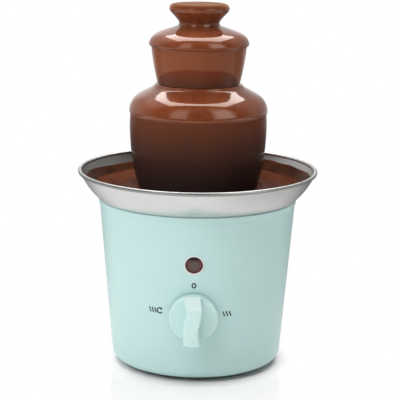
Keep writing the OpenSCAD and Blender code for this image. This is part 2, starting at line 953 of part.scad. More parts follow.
module rotor_magnet() {
  color("dimgray")
    translate([0, 0, motor_z + rise_coil + gear_gap])
      ring(magnet_r, axle_r + run, coil_h);
}

module output_gear() {
  color("white")
    translate([0, 0, motor_z + rise_output])
      gear(wheel_teeth, wheel_w, shaft_r + fit);
}

// Drive shaft and auger

module drive_shaft() {
  shaft_z = motor_z + rise_output;
  round_top_z = auger_z - auger_room / 2;
  color("silver")
    difference() {
      union() {
        translate([0, 0, shaft_z])
          cylinder(r = shaft_r, h = round_top_z - shaft_z);
        translate([0, 0, round_top_z - fit])
          cylinder(r = shaft_r, h = hex_top_z - round_top_z + fit, $fn = 6);
      }
      translate([0, 0, shaft_z - over])
        cylinder(r = axle_r + run, h = wheel_w + over + gear_gap);
    }
}

module auger_core() {
  color("whitesmoke")
    difference() {
      translate([0, 0, auger_z])
        cylinder(r = core_r, h = core_top_z - auger_z);
      translate([0, 0, auger_z - over])
        cylinder(r = shaft_r + fit, h = hex_top_z + fit - auger_z + over, $fn = 6);
    }
}

module auger_flight() {
  steps = floor(flight_turns * flight_steps);
  turn = 360 / flight_steps;
  rise = flight_pitch / flight_steps;
  inner_r = (core_r + fit) / cos(turn / 2);
  corners = [[inner_r, 0], [flight_r, 0], [flight_r, flight_t], [inner_r, flight_t]];
  points = [for (i = [0:steps], c = corners) concat(polar(c[0], i * turn), flight_z + i * rise + c[1])];
  sides = [for (i = [0:steps - 1], k = [0:3])
    let (a = 4 * i + k, b = 4 * i + (k + 1) % 4)
    each [[a, a + 4, b], [b, a + 4, b + 4]]
  ];
  last = 4 * steps;
  ends = [[0, 1, 2], [0, 2, 3], [last + 2, last + 1, last], [last + 3, last + 2, last]];
  color("whitesmoke")
    polyhedron(points, concat(sides, ends));
}

// Tower

module tower_foot() {
  flange_z = floor_z + leg_h;
  color("whitesmoke")
    difference() {
      union() {
        translate([0, 0, flange_z])
          cylinder(r = foot_flange_r, h = foot_flange_t);
        translate([0, 0, flange_z])
          cylinder(r = tube_low_r + fit + collar_wall, h = foot_flange_t + foot_collar_h);
        around(leg_circle_r, leg_angles)
          translate([0, 0, floor_z + coat_gap])
            cylinder(r = leg_r, h = leg_h);
      }
      translate([0, 0, flange_z - over])
        cylinder(r = tube_bore_r, h = foot_flange_t + foot_collar_h + 2 * over);
      translate([0, 0, tube_z])
        cylinder(r = tube_low_r + fit, h = foot_collar_h + over);
      around(leg_circle_r, leg_angles)
        translate([0, 0, floor_z - over])
          cylinder(r = pin_r + pin_room, h = pin_h + over + pin_room);
    }
}

module tower_tube() {
  color("whitesmoke")
    lathe([
      [tube_bore_r, tube_z + fit],
      [tube_low_r, tube_z + fit],
      [tube_low_r, shoulder_z],
      [tube_r, shoulder_z],
      [tube_r, tube_top_z],
      [tube_bore_r, tube_top_z]
    ]);
}

module tier(r_max, round, slope, z, collar_z) {
  outer = tier_line(r_max, round, slope, z, skin_off, collar_r);
  inner = tier_line(r_max, round, slope, z, skin_off + tier_wall, collar_r);
  top_z = tier_cone_z(r_max, round, slope, z, skin_off, collar_r);
  lathe(concat(
    [[r_max - skin_off, z - tier_lip]],
    outer,
    [[tube_r + fit, top_z], [tube_r + fit, collar_z], [collar_r, collar_z]],
    reversed(inner),
    [[r_max - skin_off - tier_wall, z - tier_lip]]
  ));
}

module lower_tier() {
  color("whitesmoke")
    tier(lower_r, lower_round, lower_slope, lower_z, shoulder_z + fit);
}

module upper_tier() {
  color("whitesmoke")
    tier(upper_r, upper_round, upper_slope, upper_z, upper_collar_z);
}

module tier_spacer() {
  spacer_z = tier_cone_z(lower_r, lower_round, lower_slope, lower_z, skin_off, collar_r) + fit;
  color("whitesmoke")
    translate([0, 0, spacer_z])
      ring(tube_low_r, tube_r + fit, upper_collar_z - fit - spacer_z);
}

// The crown's flare: a point on the line at a depth below the chocolate's surface, at a given radius
function crown_c() = [crown_r - crown_round, crown_z];
function flare_start(off) = crown_c() + polar(crown_round - off, -crown_tilt);
function flare_z(off, r) = flare_start(off)[1] - (flare_start(off)[0] - r) / tan(crown_tilt);

module crown() {
  skirt_z = tier_cone_z(upper_r, upper_round, upper_slope, upper_z, skin_off, collar_r) + fit;
  outer_off = skin_off;
  inner_off = skin_off + tier_wall;
  color("whitesmoke")
    lathe(concat(
      [[tube_r + fit, skirt_z], [skirt_r, skirt_z], [skirt_r, flare_z(outer_off, skirt_r)]],
      arc(crown_c(), crown_round - outer_off, -crown_tilt, 0),
      reversed(arc(crown_c(), crown_round - inner_off, -crown_tilt, 0)),
      [
        [tube_bore_r, flare_z(inner_off, tube_bore_r)],
        [tube_bore_r, tube_top_z + fit],
        [tube_r + fit, tube_top_z + fit]
      ]
    ));
}

// Chocolate

module chocolate_pool() {
  off = bowl_wall + pool_gap;
  end = acos((high_c[1] - (pool_z - bowl_z)) / (bowl_high_r - off));
  color("saddlebrown")
    translate([0, 0, bowl_z])
      lathe(concat(
        [[pool_hole_r, off]],
        bowl_arcs(off, end),
        [[pool_hole_r, pool_z - bowl_z]]
      ));
}

// Film over a tier and the curtain that falls from its lip
module flow(r_max, round, slope, z, r_in, lip_drop, step, lean, bend, end_z) {
  lip_z = z - lip_drop;
  under_z = z - tier_lip - lip_gap;
  top_r = r_max - step;
  fall = curtain_line(top_r, lean, bend, lip_z, end_z);
  lathe(concat(
    reversed(tier_line(r_max, round, slope, z, 0, r_in)),
    [[r_max, z - lip_drop / 2]],
    fall,
    [for (p = reversed(fall)) p - [curtain_t, 0]],
    [[top_r - curtain_t, under_z], [r_max - film_t, under_z]],
    tier_line(r_max, round, slope, z, film_t, r_in)
  ));
}

module chocolate_lower() {
  drop = upper_h - lower_h - lower_round;
  landing_r = curtain_r(upper_r - upper_step, upper_lean, upper_bend, drop) - landing_in;
  color("sienna")
    flow(lower_r, lower_round, lower_slope, lower_z, landing_r, lower_lip_drop, lower_step, 0,
      lower_bend, pool_z + curtain_room);
}

module chocolate_upper() {
  drop = upper_z - upper_lip_drop - lower_z - lower_round;
  landing_r = curtain_r(upper_r - upper_step, upper_lean, upper_bend, drop);
  end_z = tier_cone_z(lower_r, lower_round, lower_slope, lower_z, 0, landing_r - curtain_t) + curtain_room;
  color("sienna")
    flow(upper_r, upper_round, upper_slope, upper_z, skirt_r + coat_gap, upper_lip_drop, upper_step,
      upper_lean, upper_bend, end_z);
}

module chocolate_crown() {
  neck_z = tier_cone_z(upper_r, upper_round, upper_slope, upper_z, 0, skirt_r) + coat_gap;
  in_off = skin_off + tier_wall + coat_gap;
  fill_z = flare_z(in_off, tube_bore_r) + crown_fill;
  fill_r = flare_start(in_off)[0] - (flare_start(in_off)[1] - fill_z) * tan(crown_tilt);
  color("sienna")
    lathe(concat(
      [[0, fill_z], [fill_r, fill_z], flare_start(in_off)],
      [crown_c() + [crown_round - in_off, 0], crown_c() + [crown_round - in_off, coat_gap]],
      [crown_c() + [crown_round - film_t, coat_gap]],
      reversed(arc(crown_c(), crown_round - film_t, -crown_tilt, 0)),
      [[skirt_r + coat_gap, flare_z(film_t, skirt_r + coat_gap)], [skirt_r + coat_gap, neck_z]],
      [[neck_r, neck_z], [neck_r, flare_z(0, neck_r)]],
      arc(crown_c(), crown_round, -crown_tilt, 90, 2 * arc_steps),
      [[0, crown_z + crown_round]]
    ));
}

// Knob and switch

module d_rod(r, h) {
  difference() {
    cylinder(r = r, h = h);
    translate([-r, r * flat_share, -over])
      cube([2 * r, r, h + 2 * over]);
  }
}

// Wavy outline of the grip over the disc
function grip_mid(v) = grip_swing * sin(360 * (v + grip_wave / 10) / grip_wave);
module grip_outline() {
  reach = knob_r + over;
  side = [for (i = [0:4 * arc_steps]) -reach + 2 * reach * i / (4 * arc_steps)];
  intersection() {
    polygon(concat(
      [for (v = side) [grip_mid(v) + grip_w / 2, v]],
      [for (v = reversed(side)) [grip_mid(v) - grip_w / 2, v]]
    ));
    circle(r = knob_r - knob_edge / 2);
  }
}

module knob() {
  pocket_h = switch_nut_h - nut_seat + nut_cover;
  slope = atan(grip_h / (knob_r / 2));
  color("paleturquoise")
    on_wall(knob_z)
      difference() {
        union() {
          translate([0, 0, knob_gap])
            lathe(concat(
              [[0, 0], [knob_r - knob_edge / 2, 0], [knob_r, knob_edge / 2]],
              arc([knob_r - knob_edge, knob_disc_t - knob_edge], knob_edge, 0, 90, 6),
              [[0, knob_disc_t]]
            ));
          difference() {
            translate([0, 0, knob_face - land])
              linear_extrude(height = grip_h + land)
                grip_outline();
            translate([-knob_r, knob_r - knob_edge, knob_face])
              rotate([180 - slope, 0, 0])
                translate([0, -2 * knob_r, -2 * knob_r])
                  cube([2 * knob_r, 4 * knob_r, 2 * knob_r]);
          }
        }
        cylinder(r = nut_room_r, h = pocket_h + knob_gap);
        d_rod(switch_shaft_r + fit, shaft_out + fit);
      }
}

module switch_shaft() {
  color("gray")
    on_wall(knob_z) {
      translate([0, 0, -shaft_in])
        cylinder(r = switch_shaft_r, h = shaft_in + switch_nut_h - nut_seat);
      d_rod(switch_shaft_r, shaft_out);
    }
}

module switch_cam() {
  notch_r = cam_r / 3;
  color("white")
    on_wall(knob_z)
      translate([0, 0, -boss_d - switch_wall - gear_gap - cam_t])
        difference() {
          ring(cam_r, switch_shaft_r + fit, cam_t);
          for (a = cam_angles)
            translate(concat(polar(cam_r, a), -over))
              cylinder(r = notch_r, h = cam_t + 2 * over);
        }
}

module switch_body() {
  color("dimgray")
    on_wall(knob_z)
      difference() {
        union() {
          translate([-switch_w / 2, -switch_w / 2, -boss_d - switch_d])
            cube([switch_w, switch_w, switch_d - fit]);
          translate([0, 0, -boss_d - land])
            cylinder(r = switch_neck_r, h = boss_d + land + switch_nut_h - nut_seat);
        }
        translate([0, 0, -boss_d - switch_d - over])
          cylinder(r = cam_r + cam_room, h = switch_d + over - switch_wall);
        translate([0, 0, -boss_d - switch_d])
          cylinder(r = switch_shaft_r + run, h = boss_d + switch_d + switch_nut_h + over);
      }
}

module switch_back() {
  color("saddlebrown")
    on_wall(knob_z)
      translate([0, 0, -boss_d - switch_d - fit - switch_back_t]) {
        translate([-switch_w / 2, -switch_w / 2, 0])
          cube([switch_w, switch_w, switch_back_t]);
        ring(switch_shaft_r + land, switch_shaft_r - land / 2, switch_back_t + shaft_short - land);
      }
}

module switch_terminals() {
  color("goldenrod")
    on_wall(knob_z)
      translate([0, 0, -boss_d - switch_d - 2 * fit - switch_back_t])
        for (x = [-blade_x, blade_x], y = [-blade_x, blade_x])
          translate([x - blade[0] / 2, y - blade[1] / 2, -blade[2]])
            cube(blade);
}

module switch_nut() {
  color("silver")
    on_wall(knob_z)
      translate([0, 0, -nut_seat + fit])
        hex_nut(switch_nut_r, switch_neck_r + fit, switch_nut_h - fit);
}

// Pilot light

module lamp_ring() {
  ring_in_r = lens_r + fit;
  color("mintcream")
    on_wall(lamp_z)
      translate([0, 0, lamp_proud - lamp_ring_l])
        difference() {
          cylinder(r = ring_in_r + ring_wall, h = lamp_ring_l);
          translate([0, 0, ring_wall])
            cylinder(r = ring_in_r, h = lamp_ring_l);
          translate([0, 0, -over])
            cylinder(r = lamp_r + fit, h = lamp_ring_l);
        }
}

module lamp_lens() {
  dome_r = 4 * lens_r;
  color("darkred")
    on_wall(lamp_z)
      translate([0, 0, lamp_proud - lens_recess - lens_t])
        intersection() {
          cylinder(r = lens_r, h = lens_t);
          translate([0, 0, lens_t - dome_r])
            sphere(r = dome_r);
        }
}

module lamp_clip() {
  clip_in_r = lens_r + fit + ring_wall + fit;
  color("white")
    on_wall(lamp_z)
      translate([0, 0, -housing_wall - clip_gap - clip_t])
        ring(clip_in_r + clip_w, clip_in_r, clip_t);
}

module neon_lamp() {
  lamp_top = lamp_proud - lens_recess - lens_t - lamp_gap;
  color("lightsalmon")
    on_wall(lamp_z)
      translate([0, 0, lamp_top - lamp_l])
        cylinder(r = lamp_r, h = lamp_l);
}

// Cord entry and wiring

module cord_gland() {
  color("darkslategray")
    on_back(gland_z)
      difference() {
        union() {
          translate([0, 0, -gland_l])
            cylinder(r = gland_r, h = gland_l);
          translate([0, 0, fit - gland_seat])
            cylinder(r = gland_flange_r, h = gland_flange_t);
        }
        translate([0, 0, -gland_l - over])
          cylinder(r = gland_bore_r, h = gland_l + gland_flange_t + 2 * over);
      }
}

module gland_clip() {
  color("darkslategray")
    on_back(gland_z)
      translate([0, 0, -housing_wall - clip_gap - clip_t])
        ring(gland_r + fit + clip_w, gland_r + fit, clip_t);
}

module terminal_block() {
  color("ivory")
    translate([0, block_y, plate_top_z + fit])
      difference() {
        translate([-block_w / 2, -block_d / 2, 0])
          cube([block_w, block_d, block_h]);
        for (i = [-1:1])
          translate([i * block_pitch, 0, block_h / 2])
            cylinder(r = block_screw_r + fit, h = block_h);
      }
}

module terminal_screws() {
  color("goldenrod")
    translate([0, block_y, plate_top_z + fit])
      for (i = [-1:1])
        translate([i * block_pitch, 0, block_h / 2])
          cylinder(r = block_screw_r, h = block_h / 2 - land / 2);
}

// A lead: a tube swept along a smooth curve through the route's points
function spline(p, i, t) =
  let (a = p[max(i - 1, 0)], b = p[i], c = p[i + 1], d = p[min(i + 2, len(p) - 1)])
  0.5 * (2 * b + (c - a) * t + (2 * a - 5 * b + 4 * c - d) * t * t + (3 * b - a - 3 * c + d) * t * t * t);
function path(p) = concat(
  [for (i = [0:len(p) - 2], k = [0:lead_steps - 1]) spline(p, i, k / lead_steps)],
  [p[len(p) - 1]]
);
function unit(v) = v / norm(v);

module tube(points) {
  n = len(points);
  rings = [for (i = [0:n - 1])
    let (
      along = unit(points[min(i + 1, n - 1)] - points[max(i - 1, 0)]),
      u = unit(cross(along, unit([1, -0.4, -0.6]))),
      v = cross(along, u)
    )
    for (k = [0:lead_sides - 1])
      let (a = 360 * k / lead_sides)
      points[i] + lead_r * (u * cos(a) + v * sin(a))
  ];
  sides = [for (i = [0:n - 2], k = [0:lead_sides - 1])
    let (a = lead_sides * i + k, b = lead_sides * i + (k + 1) % lead_sides)
    each [[a, a + lead_sides, b], [b, a + lead_sides, b + lead_sides]]
  ];
  last = lead_sides * (n - 1);
  ends = [for (k = [1:lead_sides - 2]) each [[0, k, k + 1], [last, last + k + 1, last + k]]];
  polyhedron(rings, concat(sides, ends));
}

module leads() {
  color("khaki")
    for (i = [0:len(lead_ends) - 1])
      tube(path(concat([lead_ends[i][0]], lead_bends[i], [lead_ends[i][1]])));
}

housing();
base_plate();
rubber_feet();
base_screws();
bowl();
bowl_studs();
stud_spacers();
stud_nuts();
locating_pins();
bowl_bush();
bush_nut();
shaft_seal();
heater_plate();
heating_element();
thermostat();
thermal_fuse();
motor_plate();
motor_cover();
motor_case();
motor_screws();
motor_bush();
motor_coil();
gear_plate();
rotor_axle();
idler_axle();
switch_body();
switch_back();
switch_nut();
switch_terminals();
lamp_ring();
lamp_lens();
lamp_clip();
neon_lamp();
cord_gland();
gland_clip();
terminal_block();
terminal_screws();
leads();
chocolate_pool();
knob();
switch_shaft();
switch_cam();
drive_shaft();
output_gear();
auger_core();
auger_flight();
idler_gear();
rotor_magnet();
rotor_pinion();
tower_foot();
tower_tube();
lower_tier();
tier_spacer();
upper_tier();
crown();
chocolate_crown();
chocolate_upper();
chocolate_lower();
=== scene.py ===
"""Looks of the table-top chocolate fountain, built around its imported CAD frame."""
import json
import math

import bmesh
import bpy
from mathutils import Matrix, Vector, noise


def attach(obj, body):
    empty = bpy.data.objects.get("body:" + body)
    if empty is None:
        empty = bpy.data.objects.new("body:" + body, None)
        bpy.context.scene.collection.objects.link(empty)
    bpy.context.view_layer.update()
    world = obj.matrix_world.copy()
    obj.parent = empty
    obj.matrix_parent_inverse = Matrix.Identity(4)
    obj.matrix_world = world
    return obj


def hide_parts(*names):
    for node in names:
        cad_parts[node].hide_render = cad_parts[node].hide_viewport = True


MM = 0.001
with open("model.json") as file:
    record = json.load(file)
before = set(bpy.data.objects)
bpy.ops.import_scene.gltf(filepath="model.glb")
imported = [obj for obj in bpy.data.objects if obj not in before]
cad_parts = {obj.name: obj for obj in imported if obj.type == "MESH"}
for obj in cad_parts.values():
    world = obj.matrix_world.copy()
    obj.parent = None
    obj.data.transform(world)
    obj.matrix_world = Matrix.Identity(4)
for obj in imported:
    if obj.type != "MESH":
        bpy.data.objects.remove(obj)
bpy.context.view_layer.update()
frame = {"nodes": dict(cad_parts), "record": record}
nodes = frame["nodes"]
scene = bpy.context.scene

# Sizes shared with the part's source, in millimetres
FOOT_GAP = 3.0
HOUSING_H = 115.7
HOUSING_BOTTOM_R = 59.6
HOUSING_TOP_R = 69.1
KNOB_Z = 49.4
LAMP_Z = 85.5
WALL_TILT = math.atan((HOUSING_TOP_R - HOUSING_BOTTOM_R) / HOUSING_H)
BOWL_Z = 106.973
POOL_Z = 126.273
LOWER_Z = 179.973
UPPER_Z = 226.973
CROWN_Z = 251.373


def wall_r(z):
    """Outer radius of the housing at a height."""
    return HOUSING_BOTTOM_R + (z - FOOT_GAP) * math.tan(WALL_TILT)


# Camera at the photograph's angle
CAMERA_DISTANCE = 1.0
CAMERA_HEIGHT = 0.3358
CAMERA_PITCH = math.radians(12.41)
CAMERA_YAW = math.radians(0.105)
CAMERA_ROLL = math.radians(0.65)
CAMERA_AZIMUTH = math.radians(1.5)
FOCAL_PIXELS = 1446.9
FRAME_PIXELS = 400
SENSOR = 36.0


def place_camera():
    """Camera at the fitted place, turned about the axis so that the controls sit as in the photograph."""
    yaw, pitch, roll = CAMERA_YAW, CAMERA_PITCH, CAMERA_ROLL
    ahead = Vector((math.sin(yaw) * math.cos(pitch), math.cos(yaw) * math.cos(pitch), -math.sin(pitch)))
    right = Vector((math.cos(yaw), -math.sin(yaw), 0))
    up = right.cross(ahead)
    axis_x = math.cos(roll) * right + math.sin(roll) * up
    axis_y = -math.sin(roll) * right + math.cos(roll) * up
    turn = Matrix((axis_x, axis_y, -ahead)).transposed().to_4x4()
    place = Matrix.Translation((0, -CAMERA_DISTANCE, CAMERA_HEIGHT)) @ turn
    data = bpy.data.cameras.new("camera")
    data.sensor_width = SENSOR
    data.lens = FOCAL_PIXELS / FRAME_PIXELS * SENSOR
    data.clip_start = 0.01
    camera = bpy.data.objects.new("camera", data)
    camera.matrix_world = Matrix.Rotation(CAMERA_AZIMUTH, 4, "Z") @ place
    scene.collection.objects.link(camera)
    scene.camera = camera


place_camera()

# Node materials

# Values between which most of a noise texture lies
NOISE_SPAN = (0.3, 0.7)


def srgb(r, g, b):
    """Linear colour, with alpha, of an 8-bit screen colour."""
    def linear(v):
        v /= 255
        return v / 12.92 if v <= 0.04045 else ((v + 0.055) / 1.055) ** 2.4
    return (linear(r), linear(g), linear(b), 1)


def shaded(colour, share, lift=0.0):
    """Colour made darker or paler by a share, and lifted by a constant."""
    return tuple(min(1, c * share + lift) for c in colour[:3]) + (1,)


class Nodes:
    """Short way to add nodes to a tree and link them. Where a value is a socket, it is linked."""

    def __init__(self, tree):
        self.tree = tree

    def add(self, kind, inputs=None, **settings):
        node = self.tree.nodes.new(kind)
        for key, value in settings.items():
            setattr(node, key, value)
        self.fill(node, inputs or {})
        return node

    def fill(self, node, inputs):
        for key, value in inputs.items():
            self.put(node.inputs[key], value)

    def put(self, socket, value):
        if isinstance(value, bpy.types.NodeSocket):
            self.tree.links.new(value, socket)
        else:
            socket.default_value = value

    def math(self, operation, a, b=0.0):
        return self.add("ShaderNodeMath", {0: a, 1: b}, operation=operation).outputs[0]

    def product(self, first, *others):
        for other in others:
            first = self.math("MULTIPLY", first, other)
        return first

    def vector(self, operation, inputs, output=0):
        return self.add("ShaderNodeVectorMath", inputs, operation=operation).outputs[output]

    def split(self, where):
        return self.add("ShaderNodeSeparateXYZ", {0: where}).outputs

    def join(self, x, y, z):
        return self.add("ShaderNodeCombineXYZ", {0: x, 1: y, 2: z}).outputs[0]

    def spread(self, value, low, high, to_low, to_high):
        node = self.add("ShaderNodeMapRange", {0: value, 1: low, 2: high, 3: to_low, 4: to_high})
        return node.outputs[0]

    def mix(self, share, a, b, blend="MIX"):
        node = self.add("ShaderNodeMix", {0: share, 6: a, 7: b}, data_type="RGBA", blend_type=blend)
        return node.outputs[2]

    def noise(self, where, scale, detail=3.0, rough=0.5, distortion=0.0):
        node = self.add("ShaderNodeTexNoise", {
            "Vector": where, "Scale": scale, "Detail": detail, "Roughness": rough, "Distortion": distortion})
        return node.outputs["Fac"]

    def bump(self, height, distance, strength=1.0):
        node = self.add("ShaderNodeBump", {"Height": height, "Distance": distance, "Strength": strength})
        return node.outputs["Normal"]


def start_material(name):
    """New node material: its nodes, its shader and the place on the object in metres."""
    material = bpy.data.materials.new(name)
    material.use_nodes = True
    tools = Nodes(material.node_tree)
    shader = material.node_tree.nodes["Principled BSDF"]
    where = tools.add("ShaderNodeTexCoord").outputs["Object"]
    return material, tools, shader, where


def polar_place(tools, where, around, radial, upward):
    """Coordinates that follow a turned surface without a seam: the direction from the axis, and the radius
    and height together, each with its own scale."""
    x, y, z = tools.split(where)
    flat = tools.join(x, y, 0.0)
    radius = tools.vector("LENGTH", {0: flat}, "Value")
    turn = tools.vector("NORMALIZE", {0: flat})
    turn = tools.vector("MULTIPLY", {0: turn, 1: (around, around, 0.0)})
    along = tools.math("ADD", tools.math("MULTIPLY", radius, radial), tools.math("MULTIPLY", z, upward))
    return tools.vector("ADD", {0: turn, 1: tools.join(0.0, 0.0, along)})


def moulded_plastic(name, colour, rough, grain, shade):
    """Moulded plastic: faint cloudiness, a fine grain and uneven gloss. Grain is in millimetres, and shade is
    the share by which the cloudiness darkens the colour."""
    material, tools, shader, where = start_material(name)
    cloud = tools.noise(where, scale=26, detail=4)
    fine = tools.noise(where, scale=1500, detail=2)
    tools.fill(shader, {
        "Base Color": tools.mix(cloud, shaded(colour, 1 - shade), shaded(colour, 1 + shade / 2)),
        "Roughness": tools.spread(fine, *NOISE_SPAN, rough - 0.05, rough + 0.05),
        "Normal": tools.bump(fine, grain * MM, 0.5)})
    return material


# Places left and right of the axis, in metres, at which the shares of brightness of metal with painted side
# shade and light are given
SIDE_SHADE_SPAN = (-0.08, 0.08)


def brushed_metal(name, colour, rough, around=3.0, streak=900.0, depth=0.006, aniso=0.0, painted_sides=None):
    """Metal with fine brush lines that run round the axis. Painted sides are its shares of brightness at the
    left and right ends of the bowl: painted shade on the darker side and painted light on the paler one."""
    material, tools, shader, where = start_material(name)
    lines = tools.noise(polar_place(tools, where, around, streak, streak), scale=1.0, detail=4, rough=0.6)
    cloud = tools.noise(where, scale=35)
    tone = tools.math("ADD", tools.math("MULTIPLY", lines, 0.6), tools.math("MULTIPLY", cloud, 0.4))
    shade = tools.mix(tone, shaded(colour, 0.84), shaded(colour, 1.08))
    # Darker on one side and paler on the other: painted shade and painted light
    if painted_sides:
        level = tools.spread(tools.split(where)[0], *SIDE_SHADE_SPAN, *painted_sides)
        side_shade = tools.add("ShaderNodeCombineColor", {0: level, 1: level, 2: level}).outputs[0]
        shade = tools.mix(1.0, shade, side_shade, "MULTIPLY")
    tools.fill(shader, {
        "Base Color": shade,
        "Roughness": tools.spread(lines, *NOISE_SPAN, rough - 0.07, rough + 0.07),
        "Normal": tools.bump(lines, depth * MM, 0.6),
        "Metallic": 1.0,
        "Anisotropic": aniso})
    if aniso:
        tangent = tools.add("ShaderNodeTangent", direction_type="RADIAL", axis="Z").outputs[0]
        tools.put(shader.inputs["Tangent"], tangent)
    return material


def dull_rubber(name, colour):
    """Matte rubber with a fine pebble and pale scuffs."""
    material, tools, shader, where = start_material(name)
    pebble = tools.noise(where, scale=2200, detail=2)
    scuff = tools.spread(tools.noise(where, scale=160, detail=5, rough=0.7), 0.55, 0.75, 0.0, 1.0)
    tools.fill(shader, {
        "Base Color": tools.mix(scuff, colour, shaded(colour, 1.7, 0.02)),
        "Roughness": tools.spread(pebble, *NOISE_SPAN, 0.62, 0.8),
        "Normal": tools.bump(pebble, 0.04 * MM, 0.6)})
    return material


def wound_copper(name):
    """Enamelled wire wound round the axis."""
    material, tools, shader, where = start_material(name)
    place = polar_place(tools, where, 0.4, 4200, 4200)
    turns = {"Vector": place, "Scale": 0.25, "Distortion": 0.4}
    wire = tools.add("ShaderNodeTexWave", turns, bands_direction="Z").outputs["Fac"]
    tools.fill(shader, {
        "Base Color": tools.mix(wire, (0.22, 0.08, 0.03, 1), (0.62, 0.3, 0.12, 1)),
        "Normal": tools.bump(wire, 0.15 * MM, 0.8),
        "Roughness": 0.35,
        "Metallic": 0.6})
    return material


CHOCOLATE_SPECULAR = (1.0, 0.82, 0.7, 1)
CHOCOLATE_SHEEN = (1.0, 0.72, 0.5, 1)


def curtain_shade_share(tools, where, shade_fade, sway, lobes):
    """Share of the unshaded colour at a height of a curtain, under which lies painted shade and reflection.
    Its fade, sway and lobes are those of chocolate.
    """
    height = tools.split(where)[2]
    drift = tools.noise(polar_place(tools, where, 1.1, 0.0, 0.0), scale=1.0, detail=0)
    height = tools.math("ADD", height, tools.spread(drift, 0.25, 0.75, -sway, sway))
    if lobes:
        count, depth, power = lobes
        x, y = tools.split(where)[:2]
        turn = tools.math("MULTIPLY", tools.math("ADD", tools.math("ARCTAN2", y, x), math.pi / 2), count)
        dip = tools.math("POWER", tools.spread(tools.math("COSINE", turn), -1.0, 1.0, 1.0, 0.0), power)
        height = tools.math("ADD", height, tools.math("MULTIPLY", dip, depth))
    low, high, power = shade_fade
    return tools.math("POWER", tools.spread(height, low, high, 0.0, 1.0), power)


def chocolate(name, deep, warm, streak=(6.0, 120.0, 260.0), rough=0.07, swell=0.1, shade_fade=None, sway=0.0,
              ior=1.45, coat=0.15, gloss=0.5, sheen=0.0, lobes=None, foot=None):
    """Melted chocolate: a wet gloss over brown with streaks that follow the flow. Streak is their scales
    round, across and along the axis, and swell the depth in millimetres of slow unevenness. The fade is the
    heights in metres between which the colour goes from deep to warm and the power of that change, and sway
    is how far those heights wander; on a curtain the deep colour under them is painted shade and reflection.
    Lobes are the count of dips in those heights round the axis, their depth and their power, and foot is the
    colour that the deep one darkens to, with the heights between which it does: painted shade towards the
    curtain's foot."""
    material, tools, shader, where = start_material(name)
    lines = tools.noise(polar_place(tools, where, *streak), scale=1.0, detail=4, rough=0.55, distortion=0.6)
    cloud = tools.noise(where, scale=45)
    tone = tools.math("ADD", tools.math("MULTIPLY", lines, 0.55), tools.math("MULTIPLY", cloud, 0.45))
    tone = tools.spread(tone, *NOISE_SPAN, 0.0, 1.0)
    # Darker still towards the curtain's foot: painted shade
    if foot:
        foot_shade_colour, low, high = foot
        deep = tools.mix(tools.spread(tools.split(where)[2], low, high, 0.0, 1.0), foot_shade_colour, deep)
    # Deep colour under the fade heights: painted shade and reflection on a curtain
    if shade_fade:
        unshaded = curtain_shade_share(tools, where, shade_fade, sway, lobes)
        tone = tools.math("MULTIPLY", unshaded, tools.spread(tone, 0.0, 1.0, 0.75, 1.0))
    tools.fill(shader, {
        "Base Color": tools.mix(tone, deep, warm),
        "Roughness": tools.spread(cloud, *NOISE_SPAN, rough - 0.03, rough + 0.04),
        "Normal": tools.bump(tools.noise(where, scale=28, detail=2), swell * MM, 0.6),
        "IOR": ior,
        "Specular IOR Level": gloss,
        "Specular Tint": CHOCOLATE_SPECULAR,
        "Coat Weight": coat,
        "Coat Roughness": 0.05,
        "Sheen Weight": sheen,
        "Sheen Roughness": 0.3,
        "Sheen Tint": CHOCOLATE_SHEEN})
    return material


# Distances from the lens's middle over which its ring begins, and heights over which its shade begins
LENS_RING = (2.2 * MM, 5.6 * MM)
LENS_SHADE = (2.2 * MM, 4.6 * MM)


def tinted_lens(name, middle, edge, top):
    """Dark tinted lens: a pale filament glow in its middle, a red ring, and shade under its upper edge."""
    material, tools, shader, where = start_material(name)
    place = tools.split(where)
    rise = tools.math("SUBTRACT", place[2], LAMP_Z * MM)
    away = tools.vector("LENGTH", {0: tools.join(place[0], 0.0, rise)}, "Value")
    uneven = tools.math("MULTIPLY", tools.noise(where, scale=500, detail=2), 1.2 * MM)
    ring = tools.spread(tools.math("ADD", away, uneven), *LENS_RING, 0.0, 1.0)
    shade = tools.spread(tools.math("ADD", rise, uneven), *LENS_SHADE, 0.0, 1.0)
    cell = tools.add("ShaderNodeTexVoronoi", {"Vector": where, "Scale": 700.0})
    tools.fill(shader, {
        "Base Color": tools.mix(shade, tools.mix(ring, middle, edge), top),
        "Normal": tools.bump(cell.outputs["Distance"], 0.05 * MM, 0.35),
        "Roughness": 0.22,
        "Coat Weight": 0.4,
        "Coat Roughness": 0.03})
    return material


def clear_glass(name, colour):
    """Thin clear glass with faint unevenness."""
    material, tools, shader, where = start_material(name)
    wave = tools.noise(where, scale=300, detail=2)
    tools.fill(shader, {
        "Base Color": tools.mix(wave, colour, (1, 1, 1, 1)),
        "Normal": tools.bump(wave, 0.05 * MM, 0.3),
        "Transmission Weight": 0.85,
        "Roughness": 0.06})
    return material


